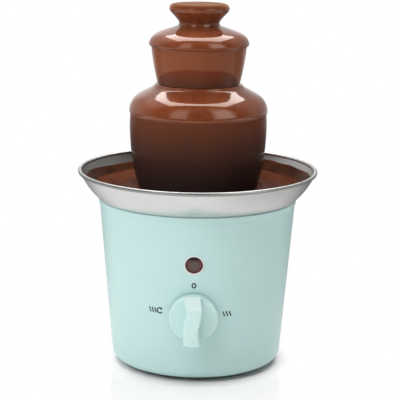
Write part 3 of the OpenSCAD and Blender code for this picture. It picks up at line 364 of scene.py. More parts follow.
MATERIALS = {
    "housing_mint": moulded_plastic("mint_plastic", srgb(184, 217, 214), 0.33, 0.012, 0.04),
    "bowl_steel": brushed_metal("bowl_steel", (0.74, 0.735, 0.725, 1), 0.3, aniso=0.35),
    "tower_white": moulded_plastic("tower_plastic", srgb(232, 230, 224), 0.38, 0.015, 0.05),
    "chocolate": chocolate("chocolate", (0.05, 0.016, 0.008, 1), (0.17, 0.058, 0.026, 1)),
    "base_dark": moulded_plastic("dark_plastic", srgb(46, 72, 72), 0.45, 0.03, 0.2),
    "foot_rubber": dull_rubber("foot_rubber", srgb(64, 104, 100)),
    "zinc": brushed_metal("zinc", (0.55, 0.55, 0.57, 1), 0.36, 8.0, 300.0),
    "bright_steel": brushed_metal("bright_steel", (0.63, 0.63, 0.63, 1), 0.22, 2.0, 1800.0),
    "seal_rubber": dull_rubber("seal_rubber", srgb(150, 44, 30)),
    "white_plastic": moulded_plastic("white_plastic", srgb(226, 226, 222), 0.42, 0.02, 0.08),
    "heater_aluminium": brushed_metal("heater_aluminium", (0.62, 0.62, 0.63, 1), 0.45, 5.0, 200.0, 0.02),
    "element_steel": brushed_metal("element_steel", (0.3, 0.27, 0.25, 1), 0.42, 6.0, 500.0),
    "phenolic": moulded_plastic("phenolic", srgb(84, 54, 34), 0.5, 0.03, 0.3),
    "brass": brushed_metal("brass", (0.62, 0.44, 0.18, 1), 0.3, 4.0, 900.0),
    "copper_coil": wound_copper("copper_coil"),
    "magnet": moulded_plastic("magnet", srgb(62, 62, 64), 0.55, 0.06, 0.25),
    "red_lens": tinted_lens("red_lens", srgb(74, 58, 51), srgb(82, 24, 26), srgb(40, 10, 12)),
    "lamp_glass": clear_glass("lamp_glass", srgb(236, 206, 188)),
    "lead_sleeve": dull_rubber("lead_sleeve", srgb(190, 170, 120)),
}
for subpart in frame["record"]["subparts"]:
    data = nodes[subpart["node"]].data
    data.materials.clear()
    data.materials.append(MATERIALS[subpart["material_slot"]])

FILM_CHOCOLATE = chocolate(
    "film_chocolate", (0.138, 0.034, 0.013, 1), (0.205, 0.053, 0.0195, 1), coat=0.0, gloss=0.85)
CROWN_CHOCOLATE = chocolate(
    "crown_chocolate", (0.1, 0.026, 0.01, 1), (0.15, 0.041, 0.016, 1), (1.3, 240.0, 0.0),
    coat=0.0, gloss=0.0, sheen=1.0)
# Upper curtain: its dark lower band is painted reflection and shade of the tier below, and its darker foot
# painted shade
UPPER_CURTAIN = chocolate(
    "upper_curtain", (0.14, 0.025, 0.0075, 1), (0.21, 0.062, 0.025, 1), (5.0, 60.0, 40.0),
    shade_fade=(0.2106, 0.2122, 1.0), sway=0.0012, coat=0.0, gloss=0.25, sheen=0.4, lobes=(2.0, 0.0125, 2.2),
    foot=((0.08, 0.022, 0.0105, 1), 0.199, 0.2105))
# Lower curtain: darker towards the pool as painted shade and reflection
LOWER_CURTAIN = chocolate(
    "lower_curtain", (0.032, 0.0205, 0.019, 1), (0.165, 0.046, 0.019, 1), (5.0, 60.0, 40.0), rough=0.12,
    shade_fade=(0.126, 0.186, 1.7), sway=0.002, ior=1.12, coat=0.0, gloss=0.3)
POOL_CHOCOLATE = chocolate(
    "pool_chocolate", (0.038, 0.011, 0.0055, 1), (0.108, 0.032, 0.0145, 1), (1.6, 170.0, 0.0), rough=0.2,
    swell=0.4, ior=1.03, coat=0.0)
WALL_CHOCOLATE = chocolate(
    "wall_chocolate", (0.02, 0.008, 0.006, 1), (0.085, 0.028, 0.014, 1), (7.0, 60.0, 90.0), rough=0.12,
    swell=0.3, ior=1.1, coat=0.0)
# Darker copy of the bowl's steel for its inside: painted shade, darker on the left and paler on the right as
# painted shade and light
BOWL_INSIDE_SHADED = brushed_metal("bowl_inside_shaded", (0.5, 0.485, 0.465, 1), 0.33, aniso=0.35, painted_sides=(0.55, 1.25))
# Darker copy of the steel for the bead: painted shade
BOWL_BEAD_SHADE = brushed_metal("bowl_bead_shade", (0.4, 0.4, 0.39, 1), 0.4)
KNOB_PLASTIC = moulded_plastic("knob_plastic", srgb(196, 226, 223), 0.3, 0.01, 0.03)
# Paler copy of the knob's plastic: a painted highlight on its sloped end
KNOB_TIP_HIGHLIGHT = moulded_plastic("knob_tip_highlight", srgb(222, 240, 238), 0.28, 0.01, 0.02)
MARK_INK = moulded_plastic("mark_ink", srgb(14, 34, 38), 0.5, 0.01, 0.2)

# Mesh makers

# Points this near to each other, in metres, become one
MERGE = 1e-7


def paint(piece, index, chosen):
    """Give a material slot to the faces whose middle, as radius and height in millimetres, is chosen."""
    for face in piece.data.polygons:
        x, y, z = (v / MM for v in face.center)
        if chosen(math.hypot(x, y), z):
            face.material_index = index


def new_piece(name, verts, faces, materials, body, replaced=()):
    """Mesh piece from points in millimetres; it rides on a body and takes the given materials."""
    mesh = bpy.data.meshes.new(name)
    mesh.from_pydata([Vector(v) * MM for v in verts], [], faces)
    mesh.validate()
    tools = bmesh.new()
    tools.from_mesh(mesh)
    bmesh.ops.remove_doubles(tools, verts=tools.verts, dist=MERGE)
    bmesh.ops.recalc_face_normals(tools, faces=tools.faces)
    tools.to_mesh(mesh)
    tools.free()
    mesh.shade_smooth()
    for material in materials:
        mesh.materials.append(material)
    piece = bpy.data.objects.new(name, mesh)
    scene.collection.objects.link(piece)
    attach(piece, body)
    if replaced:
        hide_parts(*replaced)
    return piece


def smooth_line(points, steps):
    """Catmull-Rom curve through 2-D points."""
    line = []
    for i in range(len(points) - 1):
        a = points[max(i - 1, 0)]
        b = points[i]
        c = points[i + 1]
        d = points[min(i + 2, len(points) - 1)]
        for k in range(steps):
            t = k / steps
            line.append(tuple(
                0.5 * (2 * b[j] + (c[j] - a[j]) * t + (2 * a[j] - 5 * b[j] + 4 * c[j] - d[j]) * t * t
                       + (3 * b[j] - a[j] - 3 * c[j] + d[j]) * t ** 3)
                for j in range(2)))
    line.append(tuple(points[-1]))
    return line


def ring_line(centre, rx, ry, start, end, steps):
    """Part of an ellipse as 2-D points, angles in degrees."""
    turn = [math.radians(start + (end - start) * i / steps) for i in range(steps + 1)]
    return [(centre[0] + rx * math.cos(a), centre[1] + ry * math.sin(a)) for a in turn]


def arc(centre, r, start, end, steps):
    """Arc of 2-D points, angles in degrees."""
    return ring_line(centre, r, r, start, end, steps)


def lathe(profile, segments, shift=None, closed=True):
    """Points and faces of a turned profile of (radius, height). Shift(r, z, angle) gives a moved (r, z)."""
    verts = []
    faces = []
    count = len(profile)
    for k in range(segments):
        angle = 2 * math.pi * k / segments
        for r, z in profile:
            if shift and r > 0:
                r, z = shift(r, z, angle)
            verts.append((r * math.cos(angle), r * math.sin(angle), z))
    last = count if closed else count - 1
    for k in range(segments):
        ahead = (k + 1) % segments
        for i in range(last):
            j = (i + 1) % count
            faces.append((k * count + i, ahead * count + i, ahead * count + j, k * count + j))
    return verts, faces


# Scale of the unevenness along the axis, and the step between two seeds
RIPPLE_RISE = 0.03
SEED_STEP = 7.3


def ripple(angle, height, scale, seed):
    """Smooth seeded unevenness round the axis, from about -1 to 1."""
    rise = height * RIPPLE_RISE + seed * SEED_STEP
    return noise.noise(Vector((math.cos(angle) * scale, math.sin(angle) * scale, rise)))


# Chocolate over the tower

SEGMENTS = 192

# Limits of the faces that have the crown's or a curtain's own finish
CROWN_FACE_Z = CROWN_Z + 0.4
CROWN_FACE_R = 20.9
UPPER_CURTAIN_Z = UPPER_Z - 2.5
LOWER_CURTAIN_Z = LOWER_Z - 2.0

# Middles of the round edges of the two tiers, as radius and height, and the film over the lower one
UPPER_EDGE_C = (27.2, UPPER_Z)
UPPER_EDGE_R = 5.5
LOWER_EDGE_C = (35.2, LOWER_Z)
LOWER_EDGE_R = 11.5
LOWER_EDGE_TURN = 62
LOWER_FILM = 1.5


def crown_profile():
    """Chocolate welling over the crown and down its flare to the neck."""
    outer = smooth_line([
        (0.0, 253.9), (6.0, 253.9), (11.0, 253.9), (14.6, 253.95), (17.4, 253.9), (19.0, 253.5),
        (20.2, 252.6), (20.85, 251.2), (20.3, 249.0), (18.5, 247.0), (16.6, 244.9), (15.0, 243.0),
        (14.15, 241.6), (14.05, 240.4), (14.5, 239.2)], 6)
    inner = [(13.4, 238.9), (13.3, 240.6), (13.6, 241.8), (17.5, 247.8), (18.5, 250.0), (18.9, 251.4),
             (17.5, 251.4), (16.9, 249.6), (11.5, 245.5), (0.0, 245.5)]
    return outer + inner


def upper_profile():
    """Film over the upper tier, its lip and the curtain below it."""
    dome = smooth_line([
        (13.6, 239.5), (14.6, 239.05), (18.0, 237.85), (22.0, 236.55), (26.0, 235.1), (29.5, 233.6),
        (32.0, 231.9), (33.7, 229.9), (34.6, 227.8), (34.75, 226.5)], 5)
    fall = smooth_line([
        (34.6, 225.85), (34.2, 225.35), (33.6, 225.1), (33.15, 224.5), (32.95, 223.2), (32.45, 219.0),
        (31.6, 213.0), (30.5, 207.0), (29.4, 202.0), (28.7, 198.8), (28.8, 196.8), (30.2, 195.3)], 6)
    inner = [(27.4, 196.0), (27.6, 199.4), (30.0, 212.0), (31.2, 221.0), (31.5, 226.0), (32.6, 226.1)]
    under = arc(UPPER_EDGE_C, UPPER_EDGE_R, 12, 72, 8)
    return dome + fall + inner + under + [(13.6, 237.6)]


def lower_profile():
    """Film over the lower tier, its lip and the curtain down to the pool."""
    cone = smooth_line([
        (24.5, 199.9), (28.0, 198.8), (29.4, 198.9), (30.3, 198.5), (31.0, 197.4), (32.2, 196.4),
        (34.0, 195.35), (38.5, 193.0)], 4)
    dome = arc(LOWER_EDGE_C, LOWER_EDGE_R + LOWER_FILM, LOWER_EDGE_TURN, 0, 12)
    fall = smooth_line([
        (48.15, 179.2), (47.95, 178.6), (47.65, 178.3), (47.55, 177.6), (47.75, 174.0), (47.9, 168.0),
        (47.5, 159.0), (46.6, 149.0), (45.0, 138.5), (43.2, 131.0), (42.3, 127.6), (42.6, 126.5),
        (43.6, 126.0)], 6)
    inner = [(40.6, 126.2), (41.2, 128.5), (43.6, 138.5), (45.2, 149.0), (46.3, 160.0), (46.8, 170.0),
             (46.7, 178.6)]
    under = arc(LOWER_EDGE_C, LOWER_EDGE_R, 0, LOWER_EDGE_TURN, 10)
    return cone + dome + fall + inner + under + [(24.5, 196.4)]


def flow_shift(amount, low, high, seed, folds):
    """Slow unevenness of a falling curtain, strongest near its foot, with soft folds down it."""
    def shift(r, z, angle):
        if z > high:
            return r, z
        share = min(1.0, (high - z) / (high - low))
        broad = ripple(angle, z, folds, seed)
        narrow = ripple(angle, z * 0.3, folds * 2.3, seed + 3)
        return r + amount * share * (broad * 0.7 + narrow * 0.3), z
    return shift


def make_flow(level, profile, skin, chosen, shift=None, closed=True):
    """Chocolate on one level of the tower, with a second finish on the faces that are chosen."""
    verts, faces = lathe(profile, SEGMENTS, shift, closed)
    flow = new_piece(
        f"chocolate_{level}_flow", verts, faces, [FILM_CHOCOLATE, skin], "tower",
        [f"chocolate_{level}"])
    paint(flow, 1, chosen)


make_flow(
    "crown", crown_profile(), CROWN_CHOCOLATE, lambda r, z: z > CROWN_FACE_Z and r < CROWN_FACE_R,
    closed=False)
make_flow(
    "upper", upper_profile(), UPPER_CURTAIN, lambda r, z: z < UPPER_CURTAIN_Z,
    flow_shift(amount=0.35, low=198, high=222, seed=1.0, folds=1.6))
make_flow(
    "lower", lower_profile(), LOWER_CURTAIN, lambda r, z: z < LOWER_CURTAIN_Z,
    flow_shift(amount=0.3, low=128, high=172, seed=5.0, folds=1.4))

# Chocolate in the bowl

BOWL_WALL = 0.8
BOWL_FLOOR_R = 50.6
BOWL_LOW_R = 75.0
BOWL_HIGH_R = 49.0
BOWL_ANGLES = [math.radians(a) for a in (24, 42, 66)]
BEAD_R = 1.3
POOL_IN_R = 11.0
POOL_OUT_R = 72.0
POOL_BOTTOM = 1.2
POOL_GAP = 0.25
POOL_EDGE_RISE = 0.5
POOL_SIDE_LOW = 2.1
POOL_STEPS = 8
SWIRL_H = 0.22
SWIRL_TWIST = 0.035


def on_curve(centre, r, angle):
    """Point of the bowl's outer face on one of its two curves, at a slope."""
    return (centre[0] + r * math.sin(angle), centre[1] - r * math.cos(angle))


BOWL_LOW_C = (BOWL_FLOOR_R - BOWL_LOW_R * math.sin(BOWL_ANGLES[0]), BOWL_LOW_R * math.cos(BOWL_ANGLES[0]))
BOWL_JOIN = on_curve(BOWL_LOW_C, BOWL_LOW_R, BOWL_ANGLES[1])
BOWL_HIGH_C = on_curve(BOWL_JOIN, -BOWL_HIGH_R, BOWL_ANGLES[1])
BOWL_EDGE = on_curve(BOWL_HIGH_C, BOWL_HIGH_R, BOWL_ANGLES[2])
BEAD_C = (BOWL_EDGE[0] + BEAD_R - BOWL_WALL, BOWL_EDGE[1] + BEAD_R)


def bowl_r(z, off):
    """Radius of the bowl's wall at a height over its floor's underside, at a depth inside its outer face."""
    if z < BOWL_JOIN[1]:
        return BOWL_LOW_C[0] + math.sqrt((BOWL_LOW_R - off) ** 2 - (z - BOWL_LOW_C[1]) ** 2)
    return BOWL_HIGH_C[0] + math.sqrt((BOWL_HIGH_R - off) ** 2 - (z - BOWL_HIGH_C[1]) ** 2)


def pool_profile():
    """Pool from beside the auger out to the bowl's wall, with a small swell where the curtain falls in."""
    pool = POOL_Z - BOWL_Z
    top = smooth_line([
        (POOL_IN_R, pool - 0.4), (20.0, pool - 0.2), (36.0, pool), (40.0, pool + 0.3), (42.2, pool + 0.8),
        (44.2, pool + 0.35), (47.0, pool - 0.1), (51.0, pool + 0.1), (56.0, pool), (64.0, pool),
        (70.0, pool + 0.1), (72.6, pool + 0.35)], 5)
    edge = pool + POOL_EDGE_RISE
    heights = [edge - (edge - POOL_SIDE_LOW) * i / POOL_STEPS for i in range(POOL_STEPS + 1)]
    side = [(bowl_r(z, BOWL_WALL + POOL_GAP), z) for z in heights]
    return [(r, z + BOWL_Z) for r, z in top + side + [(POOL_IN_R, POOL_BOTTOM)]]


def pool_shift(r, z, angle):
    """Slow swirls on the open surface."""
    if z < POOL_Z - 1 or r > POOL_OUT_R:
        return r, z
    return r, z + SWIRL_H * ripple(angle + r * SWIRL_TWIST, r * 2.0, 1.3, 9.0)


def make_pool():
    """Chocolate that stands in the bowl."""
    verts, faces = lathe(pool_profile(), SEGMENTS, pool_shift)
    new_piece(
        "chocolate_pool_surface", verts, faces, [POOL_CHOCOLATE], "base", ["chocolate_pool"])


make_pool()

FILM_LOW = 124.6
FILM_LEVEL = 129.2
FILM_ROWS = 10

# Depths off the wall: of the film's back, of its front at the upper edge, and what its foot adds
FILM_BACK = 0.03
FILM_THIN = 0.1
FILM_SWELL = 0.45

# Extra height of the film at its two sides, and the direction midway between them
FILM_SIDE_RISE = 1.5
FILM_SIDE_TURN = math.radians(100)

# Extra height of the film at its far end, and the direction of that end
FILM_FAR_RISE = 3.2
FILM_FAR_TURN = math.radians(65)


def film_top(angle):
    """Height that the chocolate film reaches on the bowl's wall at an angle."""
    side = 0.5 - 0.5 * math.cos(2 * (angle - FILM_SIDE_TURN))
    far = 0.5 + 0.5 * math.cos(angle - FILM_FAR_TURN)
    uneven = 1.5 * ripple(angle, 0, 1.7, 4.0) + 0.5 * ripple(angle, 0, 6.0, 8.0)
    return FILM_LEVEL + FILM_SIDE_RISE * side + FILM_FAR_RISE * far + uneven


def make_bowl_film():
    """Thin film that a higher level left on the bowl's wall: thicker at its foot, with an uneven upper edge.
    Its profile is its two sides and its rows, which shift turns into places on the wall."""
    outside, inside = 1.0, 2.0
    rows = list(range(FILM_ROWS + 1))
    profile = [(outside, k) for k in rows] + [(inside, k) for k in reversed(rows)]

    def shift(side, row, angle):
        share = row / FILM_ROWS
        z = FILM_LOW + (film_top(angle) - FILM_LOW) * share
        depth = FILM_BACK if side == outside else FILM_THIN + FILM_SWELL * (1 - share) ** 0.6
        return bowl_r(z - BOWL_Z, BOWL_WALL + depth), z

    verts, faces = lathe(profile, SEGMENTS, shift)
    new_piece("bowl_film", verts, faces, [WALL_CHOCOLATE], "base")


make_bowl_film()

# Steel bowl

BOWL_HOLE_R = 6.0
CURVE_STEPS = 24
WALL_STEPS = 32
BEAD_STEPS = 32

# Steps of the bead, from its outer end, that have its own finish
BEAD_SHOWN = 28

# Height under which the inner face goes straight down to the floor
CURVE_LOW = 1.1


def bowl_curve(centre, r, start, end, first):
    """Points of the bowl's outer face along one of its curves, between two slopes."""
    step = (end - start) / CURVE_STEPS
    return [on_curve(centre, r, start + step * i) for i in range(first, CURVE_STEPS + 1)]


def bowl_profiles():
    """Pressed bowl with a rolled rim: its outer face, and the bead with the inner face down to the floor."""
    low, middle, high = BOWL_ANGLES
    outer = [(BOWL_HOLE_R, 0.0)]
    outer += bowl_curve(BOWL_LOW_C, BOWL_LOW_R, low, middle, 0)
    outer += bowl_curve(BOWL_HIGH_C, BOWL_HIGH_R, middle, high, 1)
    top = BEAD_C[1]
    inner = arc(BEAD_C, BEAD_R, -125.0, 180.0, BEAD_STEPS)
    heights = [top - (top - BOWL_WALL) * i / WALL_STEPS for i in range(WALL_STEPS + 1)]
    inner += [(bowl_r(max(z, CURVE_LOW), BOWL_WALL), z) for z in heights]
    inner.append((BOWL_HOLE_R, BOWL_WALL))
    return [[(r, z + BOWL_Z) for r, z in line] for line in (outer, inner)]


def make_bowl():
    """Bowl with one finish outside, a duller and darker one inside and a darker one on the bead; the darkness
    inside and on the bead is painted shade.
    """
    outer, inner = bowl_profiles()
    verts, faces = lathe(outer + inner, SEGMENTS)
    finishes = [MATERIALS["bowl_steel"], BOWL_INSIDE_SHADED, BOWL_BEAD_SHADE]
    bowl = new_piece("bowl_pressing", verts, faces, finishes, "base", ["bowl"])
    count = len(outer) + len(inner)
    for face in bowl.data.polygons:
        place = face.index % count
        if len(outer) + BEAD_SHOWN <= place < count - 1:
            face.material_index = 1
        elif len(outer) - 1 <= place:
            face.material_index = 2


make_bowl()

# Knob on the front wall

KNOB_PLACE = Matrix((
    (1, 0, 0, 0),
    (0, -math.sin(WALL_TILT), -math.cos(WALL_TILT), -wall_r(KNOB_Z)),
    (0, math.cos(WALL_TILT), -math.sin(WALL_TILT), KNOB_Z),
    (0, 0, 0, 1)))
KNOB_R = 16.6
KNOB_GAP = 0.8
KNOB_FACE = KNOB_GAP + 5.0
KNOB_EDGE_R = 1.4
KNOB_SEGMENTS = 96
GRIP_H = 12.2
GRIP_W = 11.2
GRIP_SUNK = 0.6
GRIP_MARGIN = 0.1
GRIP_STEPS = 44

# The grip's lower end widens by the flare: the height where that starts, and its reach down from there
GRIP_FLARE = 0.8
FLARE_TOP = -6.0
FLARE_REACH = 10.0

# The grip's upper end slopes: rise over run, distance inside the disc's edge, and rounding into the top
TIP_SLOPE = 2.3
TIP_MARGIN = 0.6
TIP_SOFT = 1.2

# Least height over the disc and least upward lean of a face in the paler plastic, which is a painted
# highlight
TIP_LOW = 0.3
TIP_LEAN = 0.75

# Heights on the knob and sideways places of the grip's middle line
GRIP_LINE = smooth_line(
    [(-17.0, -0.4), (-10.0, -1.2), (-4.0, -1.5), (2.5, 0.0), (9.0, 1.15), (15.0, -0.9), (17.0, -1.3)], 8)

# Distances of the grip's outlines inside its edge, and their heights over the disc
GRIP_RINGS = [
    (0.0, -GRIP_SUNK), (0.0, 0.6), (0.05, 2.0), (0.2, 5.0), (0.35, 9.0), (0.45, 11.0), (0.7, 11.7),
    (1.15, 12.05), (1.8, 12.18), (2.8, GRIP_H), (4.0, GRIP_H), (5.4, GRIP_H)]


def grip_mid(v):
    """Sideways place of the grip's middle line at a height on the knob."""
    for (low, a), (high, b) in zip(GRIP_LINE, GRIP_LINE[1:]):
        if v <= high:
            break
    return a + (b - a) * (v - low) / (high - low)


def grip_outline(inset):
    """Closed wavy outline of the grip, cut by the disc's circle, at a distance inside its edge."""
    r = KNOB_R - GRIP_MARGIN - inset
    right = []
    left = []
    for i in range(GRIP_STEPS + 1):
        v = -r * math.cos(math.pi * i / GRIP_STEPS)
        foot = max(0.0, min(1.0, (FLARE_TOP - v) / FLARE_REACH))
        half = GRIP_W / 2 - inset + GRIP_FLARE * foot * foot
        edge = math.sqrt(max(0.0, r * r - v * v))
        for side, line in ((1, right), (-1, left)):
            x = grip_mid(v) + side * half
            line.append((max(-edge, min(edge, x)), v))
    return right + left[::-1]


def tip_height(v, rise):
    """Height of a point of the grip over the disc, under the slope of its upper end and rounded into it."""
    ceiling = (KNOB_R - TIP_MARGIN - v) * TIP_SLOPE
    blend = max(0.0, TIP_SOFT - abs(rise - ceiling)) / TIP_SOFT
    return max(-GRIP_SUNK, min(rise, ceiling) - 0.25 * TIP_SOFT * blend * blend)


def make_knob():
    """Disc with a rounded edge and a raised wavy grip, whose upper end slopes down in a paler plastic that is
    a painted highlight.
    """
    disc = [(0.0, KNOB_GAP), (KNOB_R - 0.7, KNOB_GAP), (KNOB_R - 0.15, KNOB_GAP + 0.4),
            (KNOB_R, KNOB_GAP + 1.0), (KNOB_R, KNOB_GAP + 3.4)]
    disc += arc((KNOB_R - KNOB_EDGE_R, KNOB_FACE - KNOB_EDGE_R), KNOB_EDGE_R, 0, 90, 8)
    disc += [(14.0, KNOB_FACE + 0.02), (8.0, KNOB_FACE), (0.0, KNOB_FACE)]
    verts, faces = lathe(disc, KNOB_SEGMENTS, closed=False)
    start = len(verts)
    for inset, rise in GRIP_RINGS:
        outline = grip_outline(inset)
        verts += [(x, v, KNOB_FACE + tip_height(v, rise)) for x, v in outline]
    count = len(outline)
    for k in range(len(GRIP_RINGS) - 1):
        a = start + k * count
        for i in range(count):
            j = (i + 1) % count
            faces.append((a + i, a + j, a + count + j, a + count + i))
    top = len(verts) - count
    for i in range(count // 2 - 1):
        faces.append((top + i, top + i + 1, top + count - 2 - i, top + count - 1 - i))
    verts = [KNOB_PLACE @ Vector(v) for v in verts]
    knob = new_piece("knob_grip", verts, faces, [KNOB_PLASTIC, KNOB_TIP_HIGHLIGHT], "knob", ["knob"])
    # Upward-leaning faces of the sloped end get the paler plastic: a painted highlight
    back = KNOB_PLACE.inverted()
    for face in knob.data.polygons:
        rise = (back @ (face.center / MM)).z - KNOB_FACE
        lean = (back.to_3x3() @ face.normal).y
        if rise > TIP_LOW and lean > TIP_LEAN:
            face.material_index = 1


make_knob()

# Markings printed on the wall

MARK_W = 0.85
INK_LOW = 0.01
INK_HIGH = 0.05
WAVE_H = 3.6
WAVE_STEPS = 20
RING_STEPS = 32

# Places of the marks on the wall, as distance round it from the middle and height
ZERO_PLACE = (0, 71.2)
HEAT_PLACE = (22.9, 50.4)
HEAT_TURN_PLACE = (-28.9, 51.8)
TURN_PLACE = (-23.6, 51.8)
TURN_HEAD = [(-22.75, 53.9), (-22.1, 52.9), (-23.2, 52.55)]
ZERO_HALF_W = 1.2
ZERO_HALF_H = 1.55
TURN_R = 1.9


def on_wall(x, z, out):
    """Point on the front wall at a distance round it from the middle and a height, standing proud by out."""
    angle = -math.pi / 2 + x / wall_r(z)
    r = wall_r(z) + out
    return (r * math.cos(angle), r * math.sin(angle), z)


def strip(line, verts, faces):
    """Add a flat printed line with a little thickness to a mark, following 2-D points."""
    start = len(verts)
    count = len(line)
    for i, (x, z) in enumerate(line):
        before = line[max(i - 1, 0)]
        after = line[min(i + 1, count - 1)]
        dx, dz = after[0] - before[0], after[1] - before[1]
        size = math.hypot(dx, dz) or 1
        nx, nz = -dz / size * MARK_W / 2, dx / size * MARK_W / 2
        for side in (1, -1):
            for out in (INK_LOW, INK_HIGH):
                verts.append(on_wall(x + side * nx, z + side * nz, out))
    for i in range(count - 1):
        a = start + 4 * i
        b = a + 4
        faces += [(a + 1, b + 1, b + 3, a + 3), (a, a + 2, b + 2, b)]
        faces += [(a, b, b + 1, a + 1), (a + 2, a + 3, b + 3, b + 2)]
    end = start + 4 * (count - 1)
    faces += [(start, start + 1, start + 3, start + 2), (end, end + 2, end + 3, end + 1)]


def mark(name, lines):
    """Printed mark made of lines."""
    verts = []
    faces = []
    for line in lines:
        strip(line, verts, faces)
    new_piece(name, verts, faces, [MARK_INK], "base")


def heat_waves(place, pitch, swing):
    """Three upright waves side by side."""
    x, z = place
    rise = [i / WAVE_STEPS for i in range(WAVE_STEPS + 1)]
    return [[(x + pitch * k + swing * math.sin(2 * math.pi * t), z + WAVE_H * (t - 0.5)) for t in rise]
            for k in (-1, 0, 1)]


mark("mark_zero", [ring_line(ZERO_PLACE, ZERO_HALF_W, ZERO_HALF_H, 0, 360, RING_STEPS)])
mark("mark_heat", heat_waves(HEAT_PLACE, pitch=2.3, swing=0.45))
turn_arrow = [arc(TURN_PLACE, TURN_R, 40, 330, RING_STEPS), TURN_HEAD]
mark("mark_heat_and_turn", heat_waves(HEAT_TURN_PLACE, pitch=2.0, swing=0.42) + turn_arrow)

# Floor, world and lamps

FLOOR_HALF = 3.0
FLOOR_FRONT = -1.1

# Ranges over the floor in metres, each with the shares at its two ends
CLEAN_FLOOR = (0.056, 0.069, 0.0, 1.0)
RIGHT_DIM = (0.02, 0.2, 1.0, 0.62)
RIGHT_CLEAR = (0.28, 0.4, 0.0, 1.0)
FRONT_DIM = (FLOOR_FRONT, -0.55, 0.05, 1.0)
BACK_DIM = (0.05, 0.26, 1.0, 0.25)
BACK_CLEAR = (0.6, 0.9, 0.0, 0.6)
POLISH_REACH = (0.06, 0.132, 0.24, 0.0)
POLISH_FRONT = (-0.02, -0.06, 0.0, 1.0)
POLISH_WIDTH = (0.05, 0.1, 1.0, 0.0)


def make_floor():
    """Pale studio floor that keeps the object's shadow, has a faint gloss in front of the base only, and ends
    behind the camera. Reflections see it dimmed in places."""
    mesh = bpy.data.meshes.new("floor")
    mesh.from_pydata([
        (-FLOOR_HALF, FLOOR_FRONT, 0), (FLOOR_HALF, FLOOR_FRONT, 0), (FLOOR_HALF, FLOOR_HALF, 0),
        (-FLOOR_HALF, FLOOR_HALF, 0)], [], [(0, 1, 2, 3)])
    floor = bpy.data.objects.new("floor", mesh)
    scene.collection.objects.link(floor)
    material = bpy.data.materials.new("floor_white")
    material.use_nodes = True
    tree = material.node_tree
    tools = Nodes(tree)
    tree.nodes.remove(tree.nodes["Principled BSDF"])
    path = tools.add("ShaderNodeLightPath").outputs
    direct = path["Is Camera Ray"]
    mirrored = tools.math("MAXIMUM", path["Is Glossy Ray"], path["Is Transmission Ray"])
    seen = tools.math("MAXIMUM", direct, mirrored)
    where = tools.add("ShaderNodeTexCoord").outputs["Object"]
    far = tools.vector("LENGTH", {0: where}, "Value")
    aside, front = tools.split(where)[:2]
    beside = tools.math("MAXIMUM", tools.spread(aside, *RIGHT_DIM), tools.spread(aside, *RIGHT_CLEAR))
    behind = tools.math("MAXIMUM", tools.spread(front, *BACK_DIM), tools.spread(front, *BACK_CLEAR))
    bright = tools.product(tools.spread(front, *FRONT_DIM), beside, behind)
    bright = tools.math("MAXIMUM", bright, direct)
    white = tools.add("ShaderNodeEmission", {"Color": (1, 1, 1, 1), "Strength": bright}).outputs[0]
    matte = tools.add("ShaderNodeBsdfDiffuse", {"Color": (0.88, 0.85, 0.85, 1)}).outputs[0]
    gloss = tools.add("ShaderNodeBsdfGlossy", {"Color": (1, 0.96, 0.96, 1), "Roughness": 0.06}).outputs[0]
    share = tools.math("MULTIPLY", tools.spread(far, *CLEAN_FLOOR), seen)
    plain = tools.add("ShaderNodeMixShader", {0: share, 1: matte, 2: white}).outputs[0]
    polish = tools.product(
        direct, tools.spread(far, *POLISH_REACH), tools.spread(front, *POLISH_FRONT),
        tools.spread(tools.math("ABSOLUTE", aside), *POLISH_WIDTH))
    mixed = tools.add("ShaderNodeMixShader", {0: polish, 1: plain, 2: gloss}).outputs[0]
    tools.put(tree.nodes["Material Output"].inputs["Surface"], mixed)
    mesh.materials.append(material)


make_floor()

WORLD_FILL = 0.305
FRONT_DARK = 0.03
NOT_ZERO = 0.001

# Ranges of direction in the room, as sine or cosine, each with the shares at its two ends
LEFT_WINDOW_IN = (-0.24, -0.36, 0.0, 0.65)
LEFT_WINDOW_OUT = (-0.78, -0.64, 0.0, 1.0)
RIGHT_WINDOW_IN = (0.4, 0.58, 0.0, 1.0)
RIGHT_WINDOW_OUT = (0.95, 0.85, 0.0, 1.0)
WINDOW_LOW = (-0.02, 0.06, 0.0, 1.0)
WINDOW_HIGH = (0.65, 0.95, 1.0, 0.0)
WINDOW_GLOW = (0.1, 0.3, 0.0, 2.4)
BEHIND = (0.25, -0.3, 0.0, 1.0)
BEHIND_RIGHT = (0.08, 0.3, 1.0, 0.5)
BEHIND_LEFT = (-0.3, -0.5, 1.0, 0.62)
BEHIND_LEFT_HIGH = (0.45, 0.6, 0.0, 1.0)


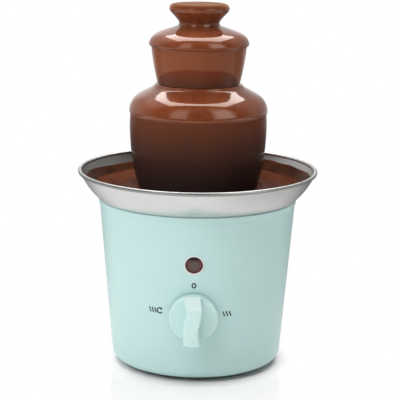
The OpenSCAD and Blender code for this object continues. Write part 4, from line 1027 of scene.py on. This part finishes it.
def make_world():
    """White backdrop for the camera; a studio room for reflections, white behind the object and dark before
    it apart from a soft window at each side; and an even fill for the rest."""
    world = bpy.data.worlds.new("studio")
    scene.world = world
    world.use_nodes = True
    tools = Nodes(world.node_tree)
    x, y, z = tools.split(tools.add("ShaderNodeTexCoord").outputs["Generated"])
    level = tools.vector("LENGTH", {0: tools.join(x, y, NOT_ZERO)}, "Value")
    ahead = tools.math("DIVIDE", tools.math("MULTIPLY", y, -1.0), level)
    aside = tools.math("DIVIDE", x, level)
    left = tools.product(tools.spread(aside, *LEFT_WINDOW_IN), tools.spread(aside, *LEFT_WINDOW_OUT))
    right = tools.product(tools.spread(aside, *RIGHT_WINDOW_IN), tools.spread(aside, *RIGHT_WINDOW_OUT))
    upright = tools.product(tools.spread(z, *WINDOW_LOW), tools.spread(z, *WINDOW_HIGH))
    window = tools.product(tools.math("ADD", left, right), upright, tools.spread(ahead, *WINDOW_GLOW))
    left_dim = tools.math("MAXIMUM", tools.spread(aside, *BEHIND_LEFT), tools.spread(z, *BEHIND_LEFT_HIGH))
    behind = tools.product(tools.spread(ahead, *BEHIND), tools.spread(aside, *BEHIND_RIGHT), left_dim)
    room = tools.math("ADD", FRONT_DARK, tools.math("MAXIMUM", window, behind))
    path = tools.add("ShaderNodeLightPath").outputs
    shown = tools.math("MAXIMUM", path["Is Camera Ray"], path["Is Transmission Ray"])
    lit = tools.add("ShaderNodeMix", {0: path["Is Glossy Ray"], 2: WORLD_FILL, 3: room}).outputs[0]
    tools.fill(world.node_tree.nodes["Background"], {
        "Color": (1, 1, 1, 1), "Strength": tools.math("MAXIMUM", lit, shown)})


make_world()

BODY_MIDDLE = (0, 0, 0.12)


def lamp(name, place, aim, size, power, mirrored=False):
    """Soft rectangular lamp aimed at a point; glossy surfaces may leave it out of their reflections."""
    data = bpy.data.lights.new(name, "AREA")
    data.shape = "RECTANGLE"
    data.size, data.size_y = size
    data.energy = power
    light = bpy.data.objects.new(name, data)
    light.location = place
    light.rotation_euler = (Vector(aim) - Vector(place)).to_track_quat("-Z", "Y").to_euler()
    light.visible_glossy = mirrored
    scene.collection.objects.link(light)


lamp("softbox_top", (0.0, 0.56, 1.2), (0.0, 0.56, 0.0), (1.2, 1.3), 25, mirrored=True)
lamp("softbox_left", (-0.95, -0.95, 1.15), BODY_MIDDLE, (0.8, 0.9), 13.0)
lamp("softbox_right", (1.1, -0.9, 0.5), BODY_MIDDLE, (0.8, 0.8), 0.9)
lamp("softbox_front", (-0.1, -0.75, 1.6), (0, -0.05, 0.1), (0.6, 0.5), 6.0)

scene.view_settings.view_transform = "Standard"
